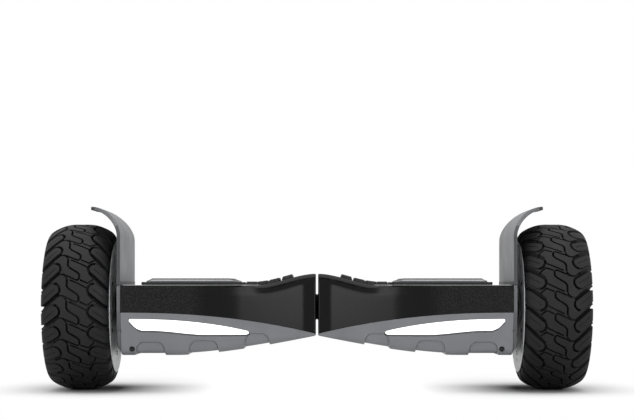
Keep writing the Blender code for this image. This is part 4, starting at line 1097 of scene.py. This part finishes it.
def pry_slots(piece):
    low, high = pry_slot
    for y_low, y_high in ((-high[1], -low[1]), (low[1], high[1])):
        cut_away(piece, block((low[0], y_low, low[2]), (high[0], y_high, high[2])))


flank_places = [((flank_screw[0], side * flank_sink, flank_screw[1]), turn)
                for side, turn in ((-1, facing_front), (1, facing_back))]
for x, y in belly_spots:
    sink_hole(lower_shell, 0.0042, 0, 0.01, (x, y, belly(x) + 0.0030), down)
for spot, turn in flank_places:
    sink_hole(lower_shell, 0.0037, 0, 0.03, spot, turn)
pry_slots(lower_shell)
smooth(lower_shell, 30)
belly_screws = [stood(bolt("belly_screw", origin, 0.0034, 0.0014, 1), (x, y, belly(x) + 0.0028), down)
                for x, y in belly_spots]
belly_screws += [stood(bolt("flank_screw", origin, 0.0028, 0.0016, 1), spot, turn)
                 for spot, turn in flank_places]
belly_screws = joined(belly_screws, "belly_screws_right")

grey_casting = finish("grey_casting", (0.165, 0.170, 0.180), 0.42, metallic=0.35, size=0.45, relief=0.02,
                      cloud=0.05, bare=(0.34, 0.345, 0.355), rubbed=0.45, dusty=0.10)
fit_pair(lower_shell, mirrored, grey_casting, "half", "grey_casting", "lower_shell")
fit_pair(belly_screws, mirrored, dark_screw, "half", "steel")

# Lenses. Each is a milky plastic window pressed into the flank from outside, lit by the strip behind it.
lens_thickness = 0.0035
lens_glow = 0.9
lens_plastic = finish("lens_plastic", (0.90, 0.91, 0.92), 0.22, size=0.8, relief=0.004, cloud=0.02,
                      uneven=0.03)
lens_shader = lens_plastic.node_tree.nodes["Principled BSDF"]
lens_shader.inputs["Emission Color"].default_value = (1, 1, 1, 1)
lens_shader.inputs["Emission Strength"].default_value = lens_glow
for side, facing in ((-1, "front"), (1, "back")):
    lens = lens_sheet(f"pressed_lens_{facing}_right", side, 0.0, 0.0001, lens_nose)
    apply(lens, "SOLIDIFY", thickness=lens_thickness, offset=-1)
    soften(lens, 0.0005, angle=50)
    fit_pair(lens, mirrored, lens_plastic, "half", "lens", f"lens_{facing}")

# End plates. Each is a grey plate that closes the footboard's outer end round the axle. A step runs round
# its edge, and four slotted screws hold it to the castings.
plate_inner = 0.2490
plate_thickness = 0.0045
plate_step = 0.0022
plate_chamfer = 0.0005
plate_line = [(0.0936, deck_level), (0.0936, 0.102), (0.0783, 0.0554), (0.0703, belly_level)]
plate_line += [(-y, z) for y, z in plate_line[::-1]]
plate_line = rounded(plate_line, [0.0012] + [0.006] * 6 + [0.0012])
end_plate = plate("stepped_end_plate_right", [(plate_inner, y, z) for y, z in plate_line],
                  (plate_step, 0, 0))
edit_all(end_plate)
bpy.ops.mesh.select_all(action="DESELECT")
bpy.ops.object.mode_set(mode="OBJECT")
for face in end_plate.data.polygons:
    face.select = face.normal.x > 0.9 and face.center.x > plate_inner + mm
bpy.ops.object.mode_set(mode="EDIT")
for inset, raised in ((0.0007, plate_chamfer), (-0.0005, plate_thickness - plate_step - plate_chamfer)):
    bpy.ops.mesh.inset(thickness=inset)
    bpy.ops.mesh.extrude_region_move(TRANSFORM_OT_translate={"value": (raised, 0, 0)})
bpy.ops.object.mode_set(mode="OBJECT")
take_end_corner(end_plate)
pry_slots(end_plate)
axle_hole = [(0.24, 0), (0.24, seal_bore), (0.26, seal_bore), (0.26, 0)]
cut_away(end_plate, spun("axle_hole", axle_hole, Vector((0, 0, axle_height))))
soften(end_plate, 0.0004, angle=28)
plate_screw_spots = ((0.078, 0.1260), (-0.078, 0.1260), (0.060, 0.0640), (-0.060, 0.0640))
plate_face = plate_inner + plate_thickness - 0.0001
plate_screws = [bolt("end_plate_screws_right", (plate_face, y, z), 0.0034, 0.0010, 1, slot_width=0.0011)
                for y, z in plate_screw_spots]
plate_screws = joined(plate_screws, "end_plate_screws_right")
# This darker grey is painted shade, for the fender's front-facing rim and the foot of its face.
dark_casting = finish("dark_casting", (0.048, 0.050, 0.053), 0.50, metallic=0.20, size=0.45, relief=0.02,
                      cloud=0.06, bare=(0.16, 0.163, 0.17), rubbed=0.4, gloss=0.25)
plate_paint = finish("plate_paint", (0.100, 0.103, 0.109), 0.48, metallic=0.20, size=0.45, relief=0.02,
                     cloud=0.05, bare=(0.26, 0.265, 0.275), rubbed=0.4, gloss=0.25)
fit_pair(end_plate, mirrored, plate_paint, "half", "grey_casting", "end_plate")
fit_pair(plate_screws, mirrored, dark_screw, "half", "steel")


# Inside. The battery, the boards, the motors' cores and the pivot's steelwork keep their CAD shapes, since
# the shells cover them. Each has the finish of what it is made of.
def coat(material, *names):
    """Gives CAD nodes that keep their own shape a finish."""
    for name in names:
        nodes[name].data.materials.clear()
        nodes[name].data.materials.append(material)


def both(*names):
    return [f"{name}_{side}" for name in names for side in ("left", "right")]


clamp_alloy = finish("clamp_alloy", (0.40, 0.405, 0.41), 0.45, metallic=0.85, size=0.5, relief=0.03,
                     cloud=0.12, bare=(0.6, 0.6, 0.6), rubbed=0.4, soft_edge=0.6)
ground_steel = finish("ground_steel", (0.36, 0.36, 0.365), 0.28, metallic=1.0, size=0.25, relief=0.006,
                      cloud=0.1, soft_edge=0.3)
bush_brass = finish("bush_brass", (0.50, 0.34, 0.11), 0.35, metallic=0.9, size=0.4, relief=0.01, cloud=0.15,
                    soft_edge=0.3)
board_green = finish("board_green", (0.012, 0.085, 0.035), 0.40, size=1.6, relief=0.02, cloud=0.2,
                     bare=(0.35, 0.25, 0.08), rubbed=0.6, soft_edge=0.2)
battery_wrap = finish("battery_wrap", (0.020, 0.055, 0.230), 0.30, size=2.5, relief=0.06, cloud=0.12,
                      soft_edge=1.2)
copper_winding = finish("copper_winding", (0.48, 0.17, 0.06), 0.38, metallic=0.9, size=0.8, height=0.2,
                        relief=0.12, cloud=0.2)
magnet_plating = finish("magnet_plating", (0.20, 0.20, 0.205), 0.35, metallic=0.9, size=0.4, relief=0.01,
                        cloud=0.1)
coat(clamp_alloy, "pivot_clamp", "pivot_bearing_block", *both("axle_clamp"))
coat(ground_steel, "pivot_tube", "pivot_circlip", *both("axle", "bearing_inner", "bearing_outer"))
coat(bush_brass, "bush_inner", "bush_outer")
coat(board_green, "main_board", *both("gyro_board", "light_strip_front", "light_strip_back"))
coat(battery_wrap, "battery_pack")
coat(copper_winding, *both("stator"))
coat(magnet_plating, *both("magnet_ring"))


# Upper shells. Each is a moulded black plastic shell, textured over the foot and glossy at the waist. A
# band leans in along its rim where the deck climbs over the pivot.
deck_wall = 0.0042
side_wall = 0.0060
inner_wall = 0.0045
pivot_hole_radius = 0.0174
pivot_hole_end = 0.0063
lip = 0.0004
edge_round = 0.0004
line_depth = 0.0006
line_places = ((0.00135, 0), (0.00090, 1), (0.00045, 0))
# Where the band starts to grow towards the waist, where it starts to climb and where the line ends,
# each with the run that it takes
band_grows = (0.165, 0.030)
band_climbs = (0.095, 0.035)
line_ends = (0.0955, 0.002)


def begun(x, change):
    """How far a change that starts at a place and takes a run has come at x, towards the pivot."""
    start, run = change
    return ease((start - x) / run)


def upper_ring(x):
    """The upper shell's section at x, from the front seam over the deck to the back seam."""
    drawn = end_round(x)
    grown, climbed = begun(x, band_grows), begun(x, band_climbs)
    band = 0.0032 + 0.0093 * grown
    brow = 0.0010 + 0.0034 * climbed
    back = 0.0022 + 0.0042 * grown + 0.0011 * climbed
    depth = half_depth(x) - drawn
    top = deck(x) - drawn * 0.5
    low = seam(x)
    corners = [(depth, low), (depth, top - band), (depth - back * 0.45, top - brow), (depth - back, top),
               (0, top)]
    curved = rounded(corners, [0, edge_round + 0.0018 * grown, edge_round + 0.0022 * climbed,
                               0.0008, 0], 4)
    # A fine line is sunk along the band, just under the deck's edge, as far in as the mat reaches.
    line_deep = line_depth * (1 - begun(x, line_ends))
    groove = []
    for lowered, sunk in line_places:
        z = top - brow - lowered
        lean = back * 0.45 * (z - top + band) / (band - brow)
        groove.append(Vector((depth - lean - line_deep * sunk, z)))
    side = [Vector((depth - lip, low)), Vector((depth, low + lip))]
    side += [Vector((depth, low + lip + (top - band - low - 0.004) * i / 6)) for i in range(1, 6)]
    side += curved[1:6] + groove + curved[6:-1]
    side += [Vector(((depth - back) * (1 - i / 4), top)) for i in range(1, 5)]
    return front_to_back(x, side)


def upper_room(x):
    """The hollow of the upper shell, one wall inside its skin."""
    half = half_depth(x) - side_wall
    corners = ((half, seam(x) - 0.02), (half, deck(x) - deck_wall))
    return [Vector((x, -y, z)) for y, z in corners] + [Vector((x, y, z)) for y, z in corners[::-1]]


upper_shell = wrapped("moulded_upper_shell_right", stations(0.0024), upper_ring)
room_near = shell_inner + inner_wall
room_spots = [room_near + (0.27 - room_near) * i / 60 for i in range(61)]
cut_away(upper_shell, wrapped("room", room_spots, upper_room))
pivot_hole = [(-0.02, 0), (-0.02, pivot_hole_radius), (pivot_hole_end, pivot_hole_radius),
              (pivot_hole_end, 0)]
cut_away(upper_shell, spun("pivot_hole", pivot_hole, Vector((0, 0, axle_height))))
upper_left = mirrored(upper_shell, "moulded_upper_shell_left")

# The left shell has two holes in its back, for the power button and the charging socket.
button_place = Vector((-0.2050, 0, axle_height + 0.0122))
socket_place = Vector((-0.1700, 0, axle_height + 0.0122))
sink_hole(upper_left, 0.0079, 0.07, 0.12, button_place, facing_back)
sink_hole(upper_left, 0.0093, 0.07, 0.12, socket_place, facing_back)

black_shell = finish("black_shell", (0.0030, 0.0030, 0.0033), 0.30, size=0.42, relief=0.05, cloud=0.12,
                     bare=(0.05, 0.05, 0.052), rubbed=0.30, dusty=0.02, gloss=0.12)
# The moulded texture lies over the foot only, is rougher than the glossy waist, and fades out towards it.
# Fine lighter speckles are painted into its colour: painted highlights and shade that stand for the light its
# grain catches.
speckle_scale = 520.0
painted_speckle_colour = (0.0170, 0.0170, 0.0175, 1)
waist_roughness = 0.18
texture_roughness = 0.12
tree = black_shell.node_tree
place = object_place(tree)
along_board = calculation(tree, "ABSOLUTE", axes_of(tree, place)["X"])
textured = spread(tree, along_board, 0.140, 0.160)
bump = tree.nodes["Bump"]
fine = bump.inputs["Height"].links[0].from_socket
tree.links.new(calculation(tree, "MULTIPLY", fine, textured), bump.inputs["Height"])
# Painted light: lighter speckles in the colour stand for the light that the texture's grain catches.
painted_speckles = spread(tree, noise(tree, place, speckle_scale, 2.0), 0.42, 0.68)
shader = tree.nodes["Principled BSDF"]
plain = shader.inputs["Base Color"].links[0].from_socket
painted_speckled = blended(tree, calculation(tree, "MULTIPLY", painted_speckles, textured), plain, painted_speckle_colour)
tree.links.new(painted_speckled, shader.inputs["Base Color"])
rough = calculation(tree, "MULTIPLY_ADD", textured, texture_roughness, waist_roughness)
tree.links.new(rough, shader.inputs["Roughness"])
for piece, side in ((upper_shell, "right"), (upper_left, "left")):
    smooth(piece, 24)
    fit(piece, black_shell, f"{side}_half", "black_shell", f"upper_shell_{side}")

# Fenders. Each is a grey pressed guard that stands on the deck's outer end and curls out over the tyre.
# Its face has fine upright brush lines. A darker strip over its foot is painted shade.
fender_inner = 0.2490
fender_wall = 0.0045
fender_foot = deck_level + 0.0003
fender_bend = 0.1985
fender_reach = 0.0445
fender_rise = 0.0400
fender_curl = 1.14
arch_spring = 0.1880
arch_rise = 0.053125
deck_half = 0.0940
bend_share = 0.55


def fender_place(across, along):
    """Along runs from the foot up and out to the tip, and across from the front to the back."""
    if along < bend_share:
        x = fender_inner
        z = fender_foot + (fender_bend - fender_foot) * along / bend_share
    else:
        turn = math.pi / 2 * (along - bend_share) / (1 - bend_share)
        x = fender_inner + fender_reach * (1 - math.cos(turn) ** fender_curl)
        z = fender_bend + fender_rise * math.sin(turn) ** fender_curl
    lift = max((z - arch_spring) / arch_rise, 0.0)
    half = deck_half * math.sqrt(1 - min(lift, 1.0) ** 2)
    return Vector((x, half * math.sin(math.pi * (across - 0.5)), z))


fender = sheet("pressed_fender_right", 44, 64, fender_place, (-1, 0, 0.3))
apply(fender, "SOLIDIFY", thickness=fender_wall, offset=-1, use_even_offset=True)
soften(fender, 0.0009, segments=3, angle=50, shading=40)
fender_paint = finish("fender_paint", (0.130, 0.133, 0.139), 0.46, metallic=0.15, size=1.0, height=0.03,
                      relief=0.05, cloud=0.05, bare=(0.42, 0.425, 0.435), rubbed=0.4, dusty=0.08,
                      gloss=0.25)
# The strip over the fender's foot is a thin plate of painted shade.
strip_half = 0.0928
strip_top = fender_foot + 0.0045
strip_line = [(-strip_half, fender_foot), (strip_half, fender_foot), (strip_half, strip_top),
              (-strip_half, strip_top)]
strip_line = rounded(strip_line, [0, 0, 0.0015, 0.0015], 3)
strip = plate("fender_foot_strip_right", [(fender_inner - 0.0005, y, z) for y, z in strip_line],
              (0.00045, 0, 0))
soften(strip, 0.00015, segments=1, angle=50)
guards = fit_pair(fender, mirrored, fender_paint, "half", "grey_casting", "fender")
fit_pair(strip, mirrored, dark_casting, "half", "grey_casting")
# The guard's rim, which faces the front and the back, takes the darker grey as painted shade, as it gets less
# light than the inboard face.
for guard in guards:
    guard.data.materials.append(dark_casting)
    for face in guard.data.polygons:
        face.material_index = 1 if abs(face.normal.y) > 0.75 else 0

# Foot mats. Each is a moulded rubber frame stuck to the deck round the foot pad, with rounded corners.
mat_inner = 0.0955
mat_outer = 0.2235
mat_half = 0.0840
mat_low = deck_level + 0.0003
mat_height = 0.0038
mat_border = 0.0060


def corner_ring(low_x, high_x, half, corner, z):
    """A rectangle with rounded corners, level at a height."""
    line = rounded([(low_x, -half), (high_x, -half), (high_x, half), (low_x, half)], [corner] * 4, 6)
    return [Vector((x, y, z)) for x, y in line]


mat_ring = corner_ring(mat_inner, mat_outer, mat_half, 0.0060, mat_low)
mat = plate("rubber_mat_right", mat_ring, (0, 0, mat_height))
mat_window = corner_ring(mat_inner + mat_border, mat_outer - mat_border, mat_half - mat_border, 0.0035,
                         mat_low - 0.01)
cut_away(mat, plate("window", mat_window, (0, 0, 0.03)))
soften(mat, 0.0011, segments=3, angle=50, shading=40)
mat_rubber = finish("mat_rubber", (0.010, 0.010, 0.0105), 0.55, size=0.7, relief=0.06, cloud=0.1,
                    bare=(0.04, 0.04, 0.04), rubbed=0.3, dusty=0.015, gloss=0.25)
fit_pair(mat, mirrored, mat_rubber, "half", "mat_rubber", "foot_mat")

# Foot pads. Each is a rubber-topped plate that goes down on its switches when it is stood on. Its top has
# two crossed channels and fine ribs, and its sloping rim sags a little midway. The rim's lighter satin grey
# is a painted sheen, which stands for the reflection along the pad's edge.
pad_inner = 0.1018
pad_outer = 0.2172
pad_half = 0.0777
pad_low = 0.1386
pad_top = 0.1452
pad_skirt = 0.0028
pad_corner = 0.0040
pad_slope = 1.06
channel_width = 0.0036
channel_depth = 0.0016
# How far the rim slopes in at the pivot's end, at the wheel's end and at the sides
slope_runs = (0.0090, 0.0063, 0.0045)
# The pad's levels from below as (height, share of its slope, how far it sags)
pad_levels = ((pad_low, 0.06, 0), (pad_low + 0.0004, 0.0, 0), (pad_low + pad_skirt, 0.0, 0),
              (pad_low + pad_skirt + 0.0006, 0.06, 0), (pad_top - 0.0013, 0.70, 0.0009),
              (pad_top - 0.0007, 0.84, 0), (pad_top - 0.0002, 0.97, 0), (pad_top, 1.06, 0))


def pad_ring(level):
    """The pad's outline at one of its levels."""
    z, share, dip = level
    near, far, aside = (run * share for run in slope_runs)
    ring = corner_ring(pad_inner + near, pad_outer - far, pad_half - aside, pad_corner, z)
    for spot in ring:
        sag = dip * math.sin(math.pi * (spot.x - pad_inner) / (pad_outer - pad_inner))
        spot.z -= sag
        spot.y += math.copysign(sag * pad_slope, spot.y)
    return ring


pad = wrapped("ribbed_pad_right", pad_levels, pad_ring)
pad_middle = Vector(((pad_inner + pad_outer) / 2, 0, pad_top - channel_depth))
reach = math.hypot(pad_outer - pad_inner, 2 * pad_half) / 2
half = channel_width / 2
corners = ((-reach, -half), (reach, -half), (reach, half), (-reach, half))
for sign in (-1, 1):
    turn = Matrix.Rotation(sign * math.atan2(2 * pad_half, pad_outer - pad_inner), 4, "Z")
    channel = [pad_middle + turn @ Vector((x, y, 0)) for x, y in corners]
    cut_away(pad, plate("channel", channel, (0, 0, 0.02)))
smooth(pad, 30)


def ribs(material, period, height):
    """Adds fine moulded ribs that run along the board to a finish."""
    tree = material.node_tree
    across = axes_of(tree, object_place(tree))["Y"]
    turns = calculation(tree, "MULTIPLY", across, 2 * math.pi / period)
    under_grain(material, spread(tree, calculation(tree, "SINE", turns), -0.2, 0.5), height)


pad_rubber = finish("pad_rubber", (0.010, 0.010, 0.0105), 0.50, size=0.7, relief=0.05, cloud=0.1,
                    bare=(0.04, 0.04, 0.04), rubbed=0.3, dusty=0.02, gloss=0.25)
ribs(pad_rubber, 0.0030, 0.0004)
# Painted sheen: the sloping rim takes this lighter metallic grey in place of the black rubber.
pad_rim = finish("pad_rim", (0.20, 0.204, 0.212), 0.32, metallic=0.85, size=0.4, relief=0.01, cloud=0.05,
                 bare=(0.6, 0.6, 0.6), rubbed=0.3)
slope_low = pad_low + pad_skirt
slope_high = pad_top - 0.0016
# The faces on the slope, between these heights, take the painted sheen, and the rest takes the black rubber.
for made in fit_pair(pad, mirrored, pad_rubber, "foot_pad", "mat_rubber", "foot_pad"):
    made.data.materials.append(pad_rim)
    for face in made.data.polygons:
        sloping = 0.15 < face.normal.z < 0.93 and slope_low < face.center.z < slope_high
        face.material_index = 1 if sloping else 0

# Grips. Two ribbed rubber strips lie across each deck where it climbs to the pivot: three blocks on one
# web, and one short block above them. They are stuck down and follow the hump.
grip_height = 0.0044
grip_web = 0.0021
grip_notch = 0.0020
grip_edge = 0.0008
grip_margin = 0.0135
notch_draw = 0.0012
grip_step = 0.0004
block_round = 0.0014
# Half a block's section from its foot to its top, as (how far in, share of its height)
block_section = ((0.0, 0.0), (0.0, 0.55), (0.0004, 0.82), (0.0012, 0.96), (0.0022, 1.0))


def strip_of_blocks(name, low_x, high_x, blocks):
    """A strip that follows the deck between two places along X, with notches between its blocks."""
    block_run = (high_x - low_x) / blocks

    def ring(x):
        within = ((x - low_x) / block_run) % 1.0 if x < high_x - weld else 1.0
        to_edge = min(within, 1 - within) * block_run
        at_end = x < low_x + block_run / 2 or x > high_x - block_run / 2
        past = clamped((to_edge - (0.0 if at_end else grip_notch / 2)) / block_round)
        height = grip_web + (grip_height - grip_web) * math.sqrt(1 - (1 - past) ** 2)
        if at_end:
            height = grip_edge + (height - grip_edge) * min(1.0, 0.15 + past)
        half = half_depth(x) - grip_margin - notch_draw * (1 - past)
        low = deck(x) + 0.0003
        side = [(half - inward, low + height * share) for inward, share in block_section]
        top_half, top = side[-1]
        side += [(top_half * (1 - i / 4), top) for i in range(1, 5)]
        return front_to_back(x, side)

    steps = round((high_x - low_x) / grip_step)
    made = wrapped(name, [low_x + (high_x - low_x) * i / steps for i in range(steps + 1)], ring)
    smooth(made, 40)
    return made


grip_rubber = finish("grip_rubber", (0.009, 0.009, 0.0095), 0.52, size=0.6, relief=0.08, cloud=0.1,
                     bare=(0.04, 0.04, 0.04), rubbed=0.3, dusty=0.015, gloss=0.25)
ribs(grip_rubber, 0.0026, 0.0005)
for name, low_x, high_x, blocks in (("outer", 0.0480, 0.0905, 3), ("inner", 0.0312, 0.0452, 1)):
    grip = strip_of_blocks(f"block_grip_{name}_right", low_x, high_x, blocks)
    fit_pair(grip, mirrored, grip_rubber, "half", "mat_rubber", f"grip_{name}")

# Pivot collar. A ribbed black washer takes the thrust between the two halves and hides the pivot tube.
washer_half = 0.0059
washer_radius = 0.0170
washer_bore = 0.0128
washer_groove = washer_radius - 0.0007
collar_line = [(-washer_half, washer_bore), (-washer_half, washer_radius - 0.0005),
               (-washer_half + 0.0005, washer_radius), (-0.0009, washer_radius), (-0.0005, washer_groove),
               (0.0005, washer_groove), (0.0009, washer_radius), (washer_half - 0.0009, washer_radius),
               (washer_half - 0.0004, washer_radius - 0.0005), (washer_half - 0.0004, washer_bore)]
collar = spun("ribbed_collar", collar_line, Vector((0, 0, axle_height)))
soften(collar, 0.0002, segments=1, angle=24)
fit(collar, seal_rubber, "left_half", "seal_rubber", "thrust_washer")


# Back controls, on the left half. The power button is a turned steel one with a dished face in a black
# bezel. The charging socket has three pins, and its rubber cap hangs on a tongue below it.
back_face = 0.0940
button_face = back_face + 0.0010
button_foot = button_face - 0.0080
button = stood(spun("dished_button", [
    (button_foot, 0), (button_foot, 0.0074), (button_face - 0.0004, 0.0074), (button_face, 0.0070),
    (button_face, 0.0060), (button_face - 0.0004, 0.0055), (button_face - 0.0007, 0.0030),
    (button_face - 0.0008, 0)]), button_place, facing_back)
soften(button, 0.0002, angle=24)
fit(button, ground_steel, "power_button_body", "steel", "power_button")
ring_foot = back_face + 0.0001
ring_top = back_face + 0.0012
bezel = stood(spun("button_bezel", [
    (ring_foot, 0.0081), (ring_foot, 0.0104), (back_face + 0.0007, 0.0104), (ring_top, 0.0098),
    (ring_top, 0.0086), (back_face + 0.0007, 0.0081)]), button_place, facing_back)
soften(bezel, 0.0002, angle=24)
fit(bezel, cap_plastic, "left_half", "black_shell")

socket_mouth = back_face + 0.0003
socket_floor = socket_mouth - 0.0120
socket_foot = socket_floor - 0.0025
socket = stood(spun("round_socket", [
    (socket_mouth, 0.0065), (socket_mouth, 0.0086), (socket_mouth - 0.0004, 0.0090),
    (socket_foot, 0.0090), (socket_foot, 0), (socket_floor, 0), (socket_floor, 0.0062),
    (socket_mouth - 0.0005, 0.0062)]), socket_place, facing_back)
soften(socket, 0.0002, angle=24)
pin_circle = 0.0032
pins = []
for number in range(3):
    turn = math.radians(90 + 120 * number)
    pins.append(spun("pin", [
        (socket_floor - 0.0010, 0), (socket_floor - 0.0010, 0.0010), (socket_mouth - 0.0040, 0.0010),
        (socket_mouth - 0.0033, 0.0006), (socket_mouth - 0.0031, 0)],
        Vector((0, pin_circle * math.cos(turn), pin_circle * math.sin(turn)))))
fit(socket, ground_steel, "left_half", "socket", "charge_socket")
pins = stood(joined(pins, "socket_pins"), socket_place, facing_back)
smooth(pins, 35)
fit(pins, bush_brass, "left_half", "brass")

cap_near = 0.0946
cap_far = cap_near + 0.0025
cap_dish = cap_far - 0.0005
cap_edge = 0.0115
hinge_height = 0.1077
cap = stood(spun("socket_cap", [
    (cap_near, 0), (cap_near, cap_edge), (cap_far - 0.0008, cap_edge), (cap_far, cap_edge - 0.0008),
    (cap_far, cap_edge - 0.0022), (cap_dish, cap_edge - 0.0027), (cap_dish, 0)]), socket_place, facing_back)
tongue_half = 0.0030
tongue_low = hinge_height - 0.0012
tongue_high = socket_place.z - cap_edge + 0.0030
tongue_line = [(-tongue_half, tongue_low), (tongue_half, tongue_low), (tongue_half, tongue_high),
               (-tongue_half, tongue_high)]
tongue_line = rounded(tongue_line, [0.0010, 0.0010, 0, 0], 3)
tongue = [(socket_place.x + x, cap_near + 0.0002, z) for x, z in tongue_line]
cut_away(cap, plate("tongue", tongue, (0, 0.0020, 0)), "UNION")
soften(cap, 0.0003, angle=30)
cap_rubber = finish("cap_rubber", (0.012, 0.012, 0.0125), 0.55, size=0.5, relief=0.04, cloud=0.2)
fit(cap, cap_rubber, "charge_cap_body", "cap_rubber", "charge_cap")
